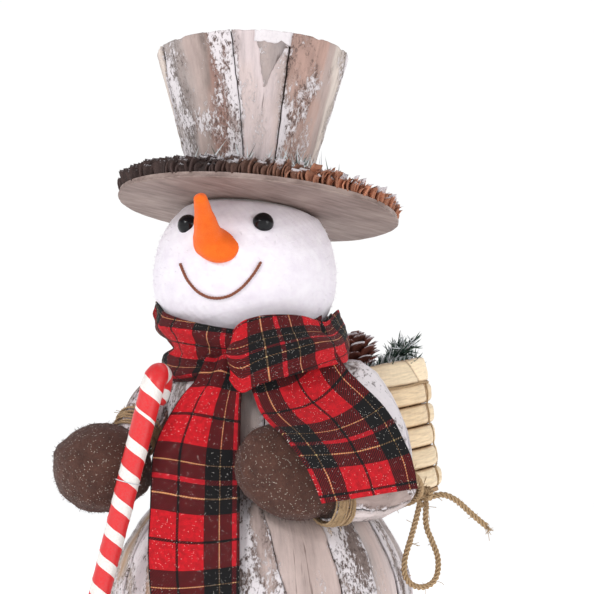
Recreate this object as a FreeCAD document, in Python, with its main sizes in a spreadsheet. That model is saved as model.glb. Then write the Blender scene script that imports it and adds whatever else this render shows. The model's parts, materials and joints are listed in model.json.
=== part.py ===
"""Standing snowman figure: foam balls clad in bark, top hat, scarf, candy cane and a back basket.

Frame: origin at the middle of the base's underside, +Z up, the face looks along -Y.
The arms, scarf, cane and cords are set out in the dressed frame, which is the figure's frame
turned about +Z by dress_turn: first number across to the figure's left, second number towards
its back, third number up.
"""
import FreeCAD, Part
import math
import os

from FreeCAD import Placement, Rotation, Vector

doc = FreeCAD.newDocument("snowman")
sheet = doc.addObject("Spreadsheet::Sheet", "sizes")

DRIVING = {
    # body, millimetres
    "base_radius": 58.0,
    "base_thick": 6.0,
    "lower_radius": 106.0,
    "lower_height": 98.0,
    "upper_radius": 70.0,
    "upper_height": 228.0,
    "waist_height": 188.0,
    "neck_height": 287.0,
    "bark_thick": 3.0,
    "bark_gap": 1.2,
    "dowel_radius": 6.0,
    "dowel_low": 20.0,
    "dowel_length": 305.0,
    # head and face
    "head_radius": 63.0,
    "head_height": 338.0,
    "head_side": 12.5,
    "felt_thick": 3.0,
    "eye_radius": 7.5,
    "eye_shank": 1.2,
    "shank_length": 12.0,
    "nose_base": 12.5,
    "nose_tip": 4.0,
    "nose_length": 48.0,
    "mouth_cord": 1.0,
    # hat
    "brim_radius": 101.5,
    "brim_thick": 3.0,
    "veneer_thick": 1.0,
    "brim_height": 387.0,
    "crown_low": 33.4,
    "crown_top": 70.0,
    "crown_sunk": 12.0,
    "crown_height": 111.0,
    "card_thick": 3.0,
    "crown_bark": 2.5,
    "garland_width": 16.0,
    "garland_height": 14.0,
    "greenery_radius": 56.0,
    "greenery_height": 9.0,
    # scarf
    "wrap_low_radius": 71.0,
    "wrap_top_radius": 68.5,
    "wrap_low": 258.0,
    "wrap_height": 76.0,
    "cloth_thick": 4.5,
    "dip_length": 200.0,
    "dip_width": 220.0,
    "dip_height": 80.0,
    # arms and mittens
    "left_arm": 15.0,
    "left_wrist": 13.0,
    "right_arm": 13.0,
    "arm_bark": 2.0,
    "cuff_thick": 3.0,
    "cuff_length": 17.0,
    "fist_radius": 30.0,
    "fist_half": 4.0,
    "mitten_wide": 30.0,
    "mitten_long": 36.0,
    "mitten_flat": 19.0,
    # cane
    "cane_foot": 6.5,
    "cane_head": 8.0,
    "cane_below": 187.0,
    "cane_above": 66.0,
    "crook_radius": 9.0,
    "crook_drop": 11.0,
    "thread_radius": 0.35,
    "thread_clear": 0.45,
    "stitch_length": 8.0,
    # basket
    "basket_low": 171.5,
    "basket_foot": 42.0,
    "basket_mouth": 49.5,
    "basket_wall": 4.5,
    "basket_board": 3.0,
    "row_height": 16.0,
    "rim_height": 19.0,
    "rim_proud": 1.5,
    "stake_radius": 1.5,
    "stake_clear": 1.1,
    "stitch_radius": 0.9,
    "foam_above": 12.0,
    "cone_radius": 15.0,
    "cone_height": 17.0,
    "eye_ring": 5.0,
    "eye_cord": 1.2,
    # jute twine
    "jute_radius": 2.1,
    "knot_radius": 7.0,
}
for row, (alias, number) in enumerate(DRIVING.items(), start=1):
    sheet.set(f"A{row}", alias)
    sheet.set(f"B{row}", str(number))
    sheet.setAlias(f"B{row}", alias)
doc.recompute()

DRESS_TURN = 15.0
LOWER_STRIPS = 16
UPPER_STRIPS = 12
CROWN_STRIPS = 14
GARLAND_PIECES = 6
WEAVE_ROWS = 5
STAKES = 16

UP = Vector(0, 0, 1)
DRESSED = Placement(Vector(0, 0, 0), Rotation(UP, DRESS_TURN))
nodes = {}


def size(alias):
    """A driving dimension read back from the sheet."""
    return float(sheet.get(alias))


def make(kind, name, cells=None, place=None):
    """A document object with its properties bound to the sheet's cells."""
    obj = doc.addObject(kind, name)
    for prop, expression in (cells or {}).items():
        obj.setExpression(prop, expression)
    if place is not None:
        obj.Placement = place
    return obj


def cut(name, base, *tools):
    """The base less each tool in turn."""
    for number, tool in enumerate(tools, start=1):
        obj = doc.addObject("Part::Cut", f"{name}_less_{number}")
        obj.Base = base
        obj.Tool = tool
        base = obj
    return base


def fuse(name, *shapes):
    obj = doc.addObject("Part::MultiFuse", name)
    obj.Shapes = list(shapes)
    return obj


def group(name, shapes):
    obj = doc.addObject("Part::Compound", name)
    obj.Links = list(shapes)
    return obj


def node(name, obj):
    """Name the finished sub-part: the label is its file's name."""
    obj.Label = name
    nodes[name] = obj
    return obj


def aimed(point, direction):
    """A placement at point whose own +Z looks along direction."""
    return Placement(Vector(point), Rotation(UP, Vector(direction)))


def ball(name, radius, middle, low=None, high=None, side=Vector(0, 0, 0)):
    """A ball with its middle at a height, cut flat at the low and high heights."""
    cells = {"Radius": radius, "Placement.Base.z": middle}
    if low:
        cells["Angle1"] = f"asin(({low} - {middle}) / ({radius}))"
    if high:
        cells["Angle2"] = f"asin(({high} - {middle}) / ({radius}))"
    return make("Part::Sphere", name, cells, Placement(side, Rotation()))


def knives(name, count, height, place=None):
    """Thin upright blades through an axis that part a skin into count strips."""
    reach = 2 * size("lower_radius") + 40
    blades = []
    for index in range(count // 2):
        blade = make("Part::Box", f"{name}_{index}", {"Width": "sizes.bark_gap"})
        blade.Length = reach
        blade.Height = height
        turn = Rotation(UP, 360.0 / count * index)
        offset = turn.multVec(Vector(-reach / 2, -size("bark_gap") / 2, -20))
        blade.Placement = Placement(offset, turn)
        blades.append(blade)
    merged = fuse(name, *blades)
    if place is not None:
        merged.Placement = place
    return merged


def route(name, points, report=False):
    """A path of straight runs joined by tangent arcs, as large as the runs allow."""
    corners = [Vector(point) for point in points]
    edges = []
    here = corners[0]
    for before, corner, after in zip(corners, corners[1:], corners[2:]):
        into = corner - before
        out = after - corner
        half_turn = into.getAngle(out) / 2
        setback = 0.45 * min(into.Length, out.Length)
        radius = setback / math.tan(half_turn)
        if report:
            print(f"{name}: bend radius {radius:.1f} mm")
        start = corner - into.normalize() * setback
        end = corner + out.normalize() * setback
        inward = (out - into).normalize()
        middle = corner + inward * (radius / math.cos(half_turn) - radius)
        edges.append(Part.LineSegment(here, start).toShape())
        edges.append(Part.Arc(start, middle, end).toShape())
        here = end
    edges.append(Part.LineSegment(here, corners[-1]).toShape())
    spine = doc.addObject("Part::Feature", f"{name}_route")
    spine.Shape = Part.Wire(edges)
    spine.Placement = DRESSED
    return spine


def tube(name, spine, radius):
    """A round tube of the given radius, a cell expression, along a route."""
    ring = make("Part::Circle", f"{name}_ring", {"Radius": radius})
    first = spine.Shape.Edges[0]
    ring.Placement = aimed(first.Vertexes[0].Point, first.tangentAt(first.FirstParameter))
    sweep = doc.addObject("Part::Sweep", name)
    sweep.Sections = [ring]
    sweep.Spine = (spine, [f"Edge{n}" for n in range(1, len(spine.Shape.Edges) + 1)])
    sweep.Solid = True
    return sweep


def slab(name, lines):
    """A cloth slab through lines given as (one end, other end, way out of the cloth)."""
    half = size("cloth_thick") / 2
    sections = []
    for index, (start, end, outward) in enumerate(lines):
        normal = Vector(outward).normalize() * half
        corners = [Vector(start) + normal, Vector(end) + normal, Vector(end) - normal, Vector(start) - normal]
        section = doc.addObject("Part::Polygon", f"{name}_line_{index}")
        section.Nodes = corners
        section.Close = True
        sections.append(section)
    loft = doc.addObject("Part::Loft", name)
    loft.Sections = sections
    loft.Solid = True
    loft.Ruled = True
    loft.Placement = DRESSED
    return loft


# ---- base, foam balls and the dowel that threads them ------------------------------------------

node("base_disc", make("Part::Cylinder", "base_disc",
                       {"Radius": "sizes.base_radius", "Height": "sizes.base_thick"}))
dowel = make("Part::Cylinder", "core_dowel", {
    "Radius": "sizes.dowel_radius",
    "Height": "sizes.dowel_length",
    "Placement.Base.z": "sizes.dowel_low",
})
node("core_dowel", dowel)

lower_ball = ball("lower_ball", "sizes.lower_radius", "sizes.lower_height", "sizes.base_thick", "sizes.waist_height")
upper_ball = ball("upper_ball", "sizes.upper_radius", "sizes.upper_height", "sizes.waist_height", "sizes.neck_height")
lower_skin = ball("lower_skin", "sizes.lower_radius + sizes.bark_thick", "sizes.lower_height",
                  "sizes.base_thick", "sizes.waist_height")
upper_skin = ball("upper_skin", "sizes.upper_radius + sizes.bark_thick", "sizes.upper_height",
                  "sizes.waist_height", "sizes.neck_height")
node("lower_body_core", cut("lower_body_core", lower_ball, dowel))

# ---- arms: foam cores let into the upper ball, each in a sleeve of bark -------------------------

LEFT_SHOULDER = (44, -6, 261)
LEFT_ELBOW = (91, -45, 190)
LEFT_WRIST = (44, -89.5, 182)
upper_arm_route = route("left_upper_arm", [LEFT_SHOULDER, (68, -20, 238), (84, -34, 215), LEFT_ELBOW])
forearm_route = route("left_forearm", [LEFT_ELBOW, (72, -68, 181), LEFT_WRIST])
right_arm_route = route("right_arm", [(-45, 0, 268), (-74, -12, 251), (-84, -32, 233), (-92, -46, 218)])


def elbow_ball(name, radius):
    return make("Part::Sphere", name, {"Radius": radius},
                DRESSED.multiply(Placement(Vector(LEFT_ELBOW), Rotation())))


left_core = fuse("left_upper_arm_core", tube("left_core_tube", upper_arm_route, "sizes.left_arm"),
                 elbow_ball("left_core_elbow", "sizes.left_arm"))
left_sleeve = fuse("left_sleeve",
                   tube("left_sleeve_tube", upper_arm_route, "sizes.left_arm + sizes.arm_bark"),
                   elbow_ball("left_sleeve_elbow", "sizes.left_arm + sizes.arm_bark"))
forearm_core = tube("forearm_core", forearm_route, "sizes.left_wrist")
forearm_sleeve = tube("forearm_sleeve", forearm_route, "sizes.left_wrist + sizes.arm_bark")
right_core = tube("right_core", right_arm_route, "sizes.right_arm")
right_sleeve = tube("right_sleeve", right_arm_route, "sizes.right_arm + sizes.arm_bark")

node("left_upper_arm", left_core)
node("left_forearm", cut("left_forearm", forearm_core, left_sleeve))
node("right_arm", right_core)
node("left_upper_arm_bark", cut("left_upper_arm_bark", left_sleeve, left_core, upper_skin))
node("left_forearm_bark", cut("left_forearm_bark", forearm_sleeve, forearm_core, left_sleeve))
node("right_arm_bark", cut("right_arm_bark", right_sleeve, right_core, upper_skin))
node("upper_body_core", cut("upper_body_core", upper_ball, dowel, left_core, right_core))

# ---- bark strips over both balls ----------------------------------------------------------------

lower_height = size("waist_height") + 40
node("lower_body_bark", cut("lower_body_bark", lower_skin, lower_ball,
                            knives("lower_knives", LOWER_STRIPS, lower_height)))
upper_height = size("neck_height") + 40
node("upper_body_bark", cut("upper_body_bark", upper_skin, upper_ball,
                            knives("upper_knives", UPPER_STRIPS, upper_height), left_core, right_core))

# ---- hat: veneered brim, card drum with bark strips, garland and greenery -----------------------

HEAD_MIDDLE = DRESSED.multVec(Vector(-size("head_side"), 0, size("head_height")))
BRIM_MIDDLE = Vector(-3, 0, size("brim_height"))
CROWN_FOOT = Vector(-9, 0, size("brim_height") + 1)
BACK_TILT = Rotation(Vector(1, 0, 0), -6.2)
brim_place = DRESSED.multiply(Placement(BRIM_MIDDLE, BACK_TILT.multiply(Rotation(Vector(0, 1, 0), 5.5))))
crown_place = DRESSED.multiply(Placement(CROWN_FOOT, BACK_TILT.multiply(Rotation(Vector(0, 1, 0), 1.0))))


def in_frame(place, x, y, z, turn=0.0):
    return place.multiply(Placement(Vector(x, y, z), Rotation(UP, turn)))


brim_top = size("brim_thick") - size("veneer_thick")
node("hat_brim", make("Part::Cylinder", "hat_brim",
                      {"Radius": "sizes.brim_radius - 1", "Height": "sizes.brim_thick"},
                      in_frame(brim_place, 0, 0, -size("veneer_thick"))))
node("brim_veneer", make("Part::Cylinder", "brim_veneer",
                         {"Radius": "sizes.brim_radius", "Height": "sizes.veneer_thick"},
                         in_frame(brim_place, 0, 0, -2 * size("veneer_thick"))))
above_brim = make("Part::Cylinder", "above_brim", {"Radius": "sizes.brim_radius", "Height": "sizes.crown_height"},
                  in_frame(brim_place, 0, 0, -2 * size("veneer_thick")))
below_brim = make("Part::Cylinder", "below_brim", {"Radius": "sizes.brim_radius", "Height": "sizes.crown_height"},
                  in_frame(brim_place, 0, 0, brim_top - size("crown_height")))


def drum(name, inset):
    """The crown's cone, drawn in by inset from its outer face."""
    return make("Part::Cone", name, {
        "Radius1": f"sizes.crown_low - {inset}",
        "Radius2": f"sizes.crown_top - {inset}",
        "Height": "sizes.crown_height + sizes.crown_sunk",
    }, in_frame(crown_place, 0, 0, -size("crown_sunk")))


crown_outer = drum("crown_outer", "0")
crown_card = drum("crown_card", "sizes.crown_bark")
crown_inside = drum("crown_inside", "(sizes.crown_bark + sizes.card_thick)")
node("hat_crown_core", cut("hat_crown_core", crown_card, crown_inside, below_brim))
node("crown_bark", cut("crown_bark", crown_outer, crown_card, below_brim,
                       knives("crown_knives", CROWN_STRIPS, size("crown_height") + 60, crown_place)))

lid_low = size("crown_height") - 7
slope = (size("crown_top") - size("crown_low")) / (size("crown_height") + size("crown_sunk"))
lid_radius = (size("crown_low") - size("crown_bark") - size("card_thick")
              + slope * (lid_low + size("crown_sunk")))
lid = make("Part::Cone", "hat_top", {"Height": "sizes.card_thick"}, in_frame(crown_place, 0, 0, lid_low))
lid.Radius1 = lid_radius
lid.Radius2 = lid_radius + slope * size("card_thick")
node("hat_top", lid)

sector = 360.0 / GARLAND_PIECES
for index in range(GARLAND_PIECES):
    place = in_frame(brim_place, 0, 0, brim_top, index * sector)
    outer = make("Part::Cylinder", f"garland_outer_{index}", {
        "Radius": "sizes.brim_radius",
        "Height": "sizes.garland_height",
    }, place)
    outer.Angle = sector - 0.5
    inner = make("Part::Cylinder", f"garland_inner_{index}", {
        "Radius": "sizes.brim_radius - sizes.garland_width",
        "Height": "sizes.garland_height + 2",
    }, in_frame(brim_place, 0, 0, brim_top - 1))
    strip_name = f"cone_scale_strip_{index + 1}"
    node(strip_name, cut(strip_name, outer, inner))

greenery = make("Part::Cylinder", "greenery", {
    "Radius": "sizes.greenery_radius",
    "Height": "sizes.greenery_height",
}, in_frame(brim_place, -6, 0, brim_top))
node("hat_greenery", cut("hat_greenery", greenery, crown_outer))

# ---- head: foam ball in fleece, flat where the brim and the neck meet it ------------------------


def head_ball(name, radius, low=None):
    side = Vector(HEAD_MIDDLE.x, HEAD_MIDDLE.y, 0)
    return ball(name, radius, "sizes.head_height", low, None, side)


head_foam = head_ball("head_foam", "sizes.head_radius", "sizes.neck_height")
head_fleece = head_ball("head_fleece", "sizes.head_radius + sizes.felt_thick", "sizes.neck_height")
head_whole = head_ball("head_whole", "sizes.head_radius + sizes.felt_thick")
node("head_core", cut("head_core", head_foam, above_brim, dowel))
node("head_cover", cut("head_cover", head_fleece, head_foam, above_brim))


def face_way(side_deg, up_deg):
    """Direction out of the head, from straight ahead, towards its left and up."""
    side = math.radians(side_deg)
    up = math.radians(up_deg)
    return Vector(math.sin(side) * math.cos(up), -math.cos(side) * math.cos(up), math.sin(up))


face_radius = size("head_radius") + size("felt_thick")
for eye_name, side_deg in (("left_eye", 29.5), ("right_eye", -29.5)):
    way = face_way(side_deg, 30.9)
    dome = make("Part::Sphere", f"{eye_name}_dome", {"Radius": "sizes.eye_radius"},
                aimed(HEAD_MIDDLE + way * (face_radius - 1.5), way))
    shank = make("Part::Cylinder", f"{eye_name}_shank", {"Radius": "sizes.eye_shank", "Height": "sizes.shank_length"},
                 aimed(HEAD_MIDDLE + way * (face_radius - 9), way))
    bead = cut(f"{eye_name}_bead", dome, head_whole)
    node(eye_name, fuse(eye_name, bead, shank))

NOSE_WAY = face_way(7.5, 37.0)
nose_foot = HEAD_MIDDLE + face_way(-7.5, 16.5) * (face_radius - 4)
nose_bulb = make("Part::Sphere", "nose_bulb", {"Radius": "sizes.nose_base"}, aimed(nose_foot, NOSE_WAY))
nose_taper = make("Part::Cone", "nose_taper", {
    "Radius1": "sizes.nose_base",
    "Radius2": "sizes.nose_tip",
    "Height": "sizes.nose_length",
}, aimed(nose_foot, NOSE_WAY))
nose_end = make("Part::Sphere", "nose_end", {"Radius": "sizes.nose_tip"},
                aimed(nose_foot + NOSE_WAY * size("nose_length"), NOSE_WAY))
node("nose", cut("nose", fuse("nose_whole", nose_bulb, nose_taper, nose_end), head_whole))

mouth_spine = doc.addObject("Part::Feature", "mouth_route")
mouth_marks = [HEAD_MIDDLE + face_way(side, up) * (face_radius + 0.4)
               for side, up in ((-27.5, 4.5), (-1.0, -17.0), (27.5, 4.5))]
mouth_spine.Shape = Part.Wire([Part.Arc(*mouth_marks).toShape()])
node("mouth", cut("mouth", tube("mouth_cord", mouth_spine, "sizes.mouth_cord"), head_whole))

# ---- mittens and cuffs ---------------------------------------------------------------------------

LEFT_MITTEN = Vector(19, -91, 200)
RIGHT_MITTEN = Vector(-109, -53, 202)


def cuff_roll(name, middle, way, radius):
    """A solid roll along the arm; the cuff is this roll less the arm's sleeve."""
    start = Vector(middle) - Vector(way).normalize() * (size("cuff_length") / 2)
    return make("Part::Cylinder", name, {"Radius": radius, "Height": "sizes.cuff_length"},
                DRESSED.multiply(aimed(start, way)))


left_roll = cuff_roll("left_cuff_roll", (49, -86.5, 181), (-28, -21.5, 1),
                      "sizes.left_wrist + sizes.arm_bark + sizes.cuff_thick")
right_roll = cuff_roll("right_cuff_roll", (-87.5, -38.5, 226), (-8, -14, -15),
                       "sizes.right_arm + sizes.arm_bark + sizes.cuff_thick")
node("left_cuff", cut("left_cuff", left_roll, forearm_sleeve))
node("right_cuff", cut("right_cuff", right_roll, right_sleeve))

# The left mitten lies flat on the belly: an ellipsoid, long towards the front tail.
left_felt = doc.addObject("Part::Ellipsoid", "left_felt")
left_felt.setExpression("Radius1", "sizes.mitten_wide")
left_felt.setExpression("Radius2", "sizes.mitten_long")
left_felt.setExpression("Radius3", "sizes.mitten_flat")
left_felt.Placement = DRESSED.multiply(Placement(LEFT_MITTEN, Rotation(Vector(1, 0, 0), Vector(-34, 0, 20))))
node("left_mitten", cut("left_mitten", left_felt, fuse("left_inside", forearm_sleeve, left_roll)))

# The right mitten is a rounder fist behind the cane: two balls and the roll between them.
fist_start = RIGHT_MITTEN - Vector(size("fist_half"), 0, 0)
fist_roll = make("Part::Cylinder", "fist_roll", {"Radius": "sizes.fist_radius", "Height": "2 * sizes.fist_half"},
                 DRESSED.multiply(aimed(fist_start, (1, 0, 0))))
fist_balls = []
for index, side in enumerate((-1, 1)):
    middle = RIGHT_MITTEN + Vector(side * size("fist_half"), 0, 0)
    fist_balls.append(make("Part::Sphere", f"fist_ball_{index}", {"Radius": "sizes.fist_radius"},
                           DRESSED.multiply(Placement(middle, Rotation()))))
right_fist = fuse("right_fist", fist_roll, *fist_balls)
right_body = node("right_mitten", cut("right_mitten", right_fist, fuse("right_inside", right_sleeve, right_roll)))

# ---- scarf: a wrap round the neck, a tail down the front and a tail over the left arm -------------

wrap_drum = make("Part::Cone", "wrap_drum", {
    "Radius1": "sizes.wrap_low_radius",
    "Radius2": "sizes.wrap_top_radius",
    "Height": "sizes.wrap_height",
    "Placement.Base.z": "sizes.wrap_low",
}, Placement(Vector(HEAD_MIDDLE.x, HEAD_MIDDLE.y, 0), Rotation()))
# The wrap's top edge dips under the chin and rises towards the back.
wrap_dip = make("Part::Box", "wrap_dip", {
    "Length": "sizes.dip_length",
    "Width": "sizes.dip_width",
    "Height": "sizes.dip_height",
}, DRESSED.multiply(Placement(Vector(-112, -80, 297), Rotation(Vector(1, 0, 0), 13))))
wrap = cut("scarf_wrap", wrap_drum, wrap_dip, head_whole,
           ball("upper_whole", "sizes.upper_radius + sizes.bark_thick", "sizes.upper_height"),
           left_sleeve, right_sleeve)
node("scarf_wrap", wrap)

FRONT = (-0.17, -1, 0)
front_tail = slab("front_tail", [
    ((-38, -69, 275), (-10, -72, 275), FRONT),
    ((-44, -73, 262), (-12, -77, 262), FRONT),
    ((-57, -74, 245), (-13, -79, 245), FRONT),
    ((-71.5, -75.5, 215), (-13.5, -80, 215), FRONT),
    ((-73.5, -82, 180), (-13.5, -87, 180), FRONT),
    ((-73.5, -95, 140), (-13, -106, 140), FRONT),
    ((-69, -101.5, 98), (-13, -112.5, 98), FRONT),
    ((-66, -99, 66), (-13, -109.5, 66), FRONT),
])
node("scarf_front_tail", cut("scarf_front_tail", front_tail, wrap_drum))
side_tail = slab("side_tail", [
    ((-8, -78, 266), (44, -46, 303), (0.5, -0.8, 0.1)),
    ((1.5, -100, 240), (58.6, -52, 270), (0.6, -0.7, 0.4)),
    ((17, -121, 224), (86, -66, 242), (0.6, -0.7, 0.35)),
    ((32, -123, 203), (101, -76, 212), (0.6, -0.75, 0.1)),
    ((41.5, -120, 180.5), (106, -84, 189), (0.55, -0.8, -0.1)),
])
node("scarf_side_tail", cut("scarf_side_tail", side_tail, wrap_drum))

# ---- candy cane and the thread that ties it to the right mitten ----------------------------------

CANE_TIE = Vector(-88.4, -88, 193.4)
CANE_LEAN = 14.1
CROOK_TURN = -12.0
cane_place = DRESSED.multiply(Placement(CANE_TIE, Rotation(Vector(0, 1, 0), CANE_LEAN)))
shaft = make("Part::Cone", "cane_shaft", {
    "Radius1": "sizes.cane_foot",
    "Radius2": "sizes.cane_head",
    "Height": "sizes.cane_below + sizes.cane_above",
}, in_frame(cane_place, 0, 0, -size("cane_below")))
crook_way = Rotation(UP, CROOK_TURN).multVec(Vector(0, 1, 0))
crook_middle = crook_way * size("crook_radius") + UP * size("cane_above")
crook_turn = Rotation(UP, CROOK_TURN).multiply(Rotation(Vector(0, 1, 0), 90)).multiply(Rotation(UP, 90))
crook = make("Part::Torus", "cane_crook", {"Radius1": "sizes.crook_radius", "Radius2": "sizes.cane_head"},
             cane_place.multiply(Placement(crook_middle, crook_turn)))
crook.Angle3 = 180
drop_start = crook_way * (2 * size("crook_radius")) + UP * (size("cane_above") - size("crook_drop"))
drop = make("Part::Cylinder", "cane_drop", {"Radius": "sizes.cane_head", "Height": "sizes.crook_drop"},
            in_frame(cane_place, drop_start.x, drop_start.y, drop_start.z))
node("candy_cane", fuse("candy_cane", shaft, crook, drop))

thread_ring = make("Part::Torus", "thread_ring", {"Radius2": "sizes.thread_radius"}, cane_place)
cane_here = size("cane_foot") + (size("cane_head") - size("cane_foot")) * size("cane_below") / (
    size("cane_below") + size("cane_above"))
thread_ring.Radius1 = cane_here + size("thread_clear") + size("thread_radius")
stitch = make("Part::Cylinder", "thread_stitch", {"Radius": "sizes.thread_radius", "Height": "sizes.stitch_length"},
              cane_place.multiply(aimed((0, float(thread_ring.Radius1), 0), (0, 1, 0))))
node("cane_thread", cut("cane_thread", fuse("thread_whole", thread_ring, stitch), right_body))

# ---- basket on the back ---------------------------------------------------------------------------

# It leans about a point LEAN_HEIGHT up its axis; heights in it are measured as if it stood upright.
LEAN_HEIGHT = 220.5
BASKET_LEAN = -12.0
basket_place = DRESSED.multiply(Placement(Vector(83, 97, LEAN_HEIGHT), Rotation(Vector(0, 1, 0), BASKET_LEAN)))
basket_low = size("basket_low")
weave_low = basket_low + size("basket_board")
weave_high = weave_low + WEAVE_ROWS * size("row_height")
flare = (size("basket_mouth") - size("basket_foot")) / (weave_high - weave_low)


def in_basket(across, back, height):
    """A placement in the leaning basket: offsets from its axis, and height before it leaned."""
    return in_frame(basket_place, across, back, height - LEAN_HEIGHT)


def hoop(name, outer, inner, low, height):
    """A plain ring of the basket: outer and inner radii, foot height and its own height."""
    rod = make("Part::Cylinder", f"{name}_rod", {"Height": height}, in_basket(0, 0, low))
    rod.Radius = outer
    bore = make("Part::Cylinder", f"{name}_bore", {"Height": height}, in_basket(0, 0, low))
    bore.Radius = inner
    return node(name, cut(name, rod, bore))


node("basket_base", make("Part::Cylinder", "basket_base", {
    "Radius": "sizes.basket_foot - 1",
    "Height": "sizes.basket_board",
}, in_basket(0, 0, basket_low)))
for index in range(WEAVE_ROWS):
    row_low = weave_low + index * size("row_height")
    row_radius = size("basket_foot") + flare * (row_low - weave_low + size("row_height") / 2)
    hoop(f"basket_weave_row_{index + 1}", row_radius, row_radius - size("basket_wall"), row_low,
         "sizes.row_height")
rim_radius = size("basket_mouth") + size("rim_proud")
rim_top = weave_high + size("rim_height")
hoop("basket_rim", rim_radius, rim_radius - size("basket_wall"), weave_high, "sizes.rim_height")

stake_foot = size("basket_foot") - size("basket_wall") - size("stake_radius") - size("stake_clear")
stakes = []
for index in range(STAKES):
    outward = Rotation(UP, 360.0 / STAKES * index).multVec(Vector(1, 0, 0))
    foot = outward * stake_foot + UP * (weave_low + 0.2 - LEAN_HEIGHT)
    stake = make("Part::Cylinder", f"stake_{index}", {
        "Radius": "sizes.stake_radius",
        "Height": f"{weave_high + 6 - weave_low}",
    }, basket_place.multiply(aimed(foot, outward * flare + UP)))
    stakes.append(stake)
node("basket_stakes", group("basket_stakes", stakes))

foam_high = weave_high + size("foam_above")
foam = make("Part::Cone", "foam_block", {}, in_basket(0, 0, weave_low))
foam.Height = foam_high - weave_low
foam.Radius1 = stake_foot - size("stake_radius") - 0.5
foam.Radius2 = float(foam.Radius1) + flare * float(foam.Height)
node("foam_block", foam)

cone = doc.addObject("Part::Ellipsoid", "cone_body")
cone.setExpression("Radius1", "sizes.cone_height")
cone.setExpression("Radius2", "sizes.cone_radius")
cone.Placement = in_basket(-1, -24, foam_high + 13)
node("pine_cone", cut("pine_cone", cone, foam))

SPRIGS = [  # foot across and back from the basket's axis, way, length, thickness
    ((10, -18), (0.85, -0.1, 0.45), 38, 6.0),
    ((16, 4), (0.6, 0.5, 0.55), 34, 6.5),
    ((-4, 8), (0.05, 0.3, 0.8), 32, 7.0),
    ((-18, 0), (-0.2, 0.1, 0.85), 30, 6.0),
    ((4, 24), (0.2, 0.6, 0.6), 30, 6.0),
]
sprigs = []
for index, ((across, back), way, length, thick) in enumerate(SPRIGS):
    foot = Vector(across, back, foam_high + 1 - LEAN_HEIGHT)
    sprig = make("Part::Cone", f"sprig_{index}", {}, basket_place.multiply(aimed(foot, way)))
    sprig.Radius1 = thick * 0.6
    sprig.Radius2 = thick
    sprig.Height = length
    sprigs.append(cut(f"sprig_{index}", sprig, foam, cone))
for first in range(len(sprigs)):
    for second in range(first + 1, len(sprigs)):
        sprigs[second] = cut(f"sprig_{second}_clear_{first}", sprigs[second], sprigs[first])
node("pine_sprigs", group("pine_sprigs", sprigs))

# The stitching cord lies in the groove under the rim.
band = make("Part::Torus", "basket_band", {"Radius2": "sizes.stitch_radius"},
            in_basket(0, 0, weave_high - size("stitch_radius") - 0.1))
band.Radius1 = size("basket_mouth") - flare * size("row_height") / 2 + size("stitch_radius") + 0.1
node("basket_cord", band)

# The basket hangs from the scarf's back by two linked eyes of twine; the hinge is where they meet.
rim_middle = basket_place.multVec(Vector(0, 0, rim_top - LEAN_HEIGHT))
hang_way = Vector(rim_middle.x - HEAD_MIDDLE.x, rim_middle.y - HEAD_MIDDLE.y, 0).normalize()
side_way = hang_way.cross(UP)
towards_rim = basket_place.Rotation.inverted().multVec(hang_way)
towards_rim = Vector(towards_rim.x, towards_rim.y, 0).normalize() * (rim_radius - size("basket_wall") / 2)
eye_middle = basket_place.multVec(UP * (rim_top - LEAN_HEIGHT) - towards_rim) + UP * (size("eye_ring") + 1)
hang_point = eye_middle - hang_way + UP
print(f"basket hinge at {hang_point.x:.2f}, {hang_point.y:.2f}, {hang_point.z:.2f},"
      f" axis {side_way.x:.5f}, {side_way.y:.5f}")
neck_eye = make("Part::Torus", "neck_eye_ring", {"Radius1": "sizes.eye_ring", "Radius2": "sizes.eye_cord"},
                Placement(hang_point - hang_way * size("eye_ring"), Rotation()))
node("neck_eye", cut("neck_eye", neck_eye, wrap_drum))
basket_eye = make("Part::Torus", "basket_eye_ring", {"Radius1": "sizes.eye_ring", "Radius2": "sizes.eye_cord"},
                  aimed(eye_middle, side_way))
node("basket_eye", cut("basket_eye", basket_eye, nodes["basket_rim"]))

# ---- jute twine at the left elbow: a turn round it, a knot, a hanging loop and a loose tail ---------

elbow_turn = aimed(LEFT_ELBOW, (0.21, 0.67, 0.71))
turn_ring = make("Part::Torus", "elbow_turn", {"Radius2": "sizes.jute_radius"}, DRESSED.multiply(elbow_turn))
turn_ring.setExpression("Radius1", "sizes.left_arm + sizes.arm_bark + sizes.jute_radius + 1.2")
node("elbow_cord", cut("elbow_cord", turn_ring, left_sleeve, forearm_sleeve))

LOOP = [
    (115.2, -37, 176.8), (113.6, -37, 163.1), (119, -36, 150.6), (123.9, -36, 138), (122.2, -38.5, 124.4),
    (114.5, -41.5, 118.8), (105.1, -45, 119.8), (98.9, -47, 127), (99, -47.5, 138.5), (102.8, -45.5, 150),
    (107.3, -42.3, 164), (110.5, -38.5, 176.5),
]
TAIL = [
    (115.6, -37, 179.8), (121.2, -36.5, 182.5), (128.9, -36, 182.8), (137.3, -35.5, 178.3), (147, -35, 169),
    (157, -35, 160.8),
]
loop_route = route("jute_loop", LOOP, report=True)
tail_route = route("jute_tail", TAIL, report=True)
knot = make("Part::Sphere", "knot_ball", {"Radius": "sizes.knot_radius"},
            DRESSED.multiply(Placement(Vector(112.5, -37, 182.5), Rotation())))
node("jute_knot", cut("jute_knot", knot, nodes["elbow_cord"], left_sleeve))
node("jute_loop", cut("jute_loop", tube("loop_tube", loop_route, "sizes.jute_radius"), nodes["jute_knot"]))
node("jute_tail", cut("jute_tail", tube("tail_tube", tail_route, "sizes.jute_radius"), nodes["jute_knot"]))

# ---- recompute, check and write -------------------------------------------------------------------

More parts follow.
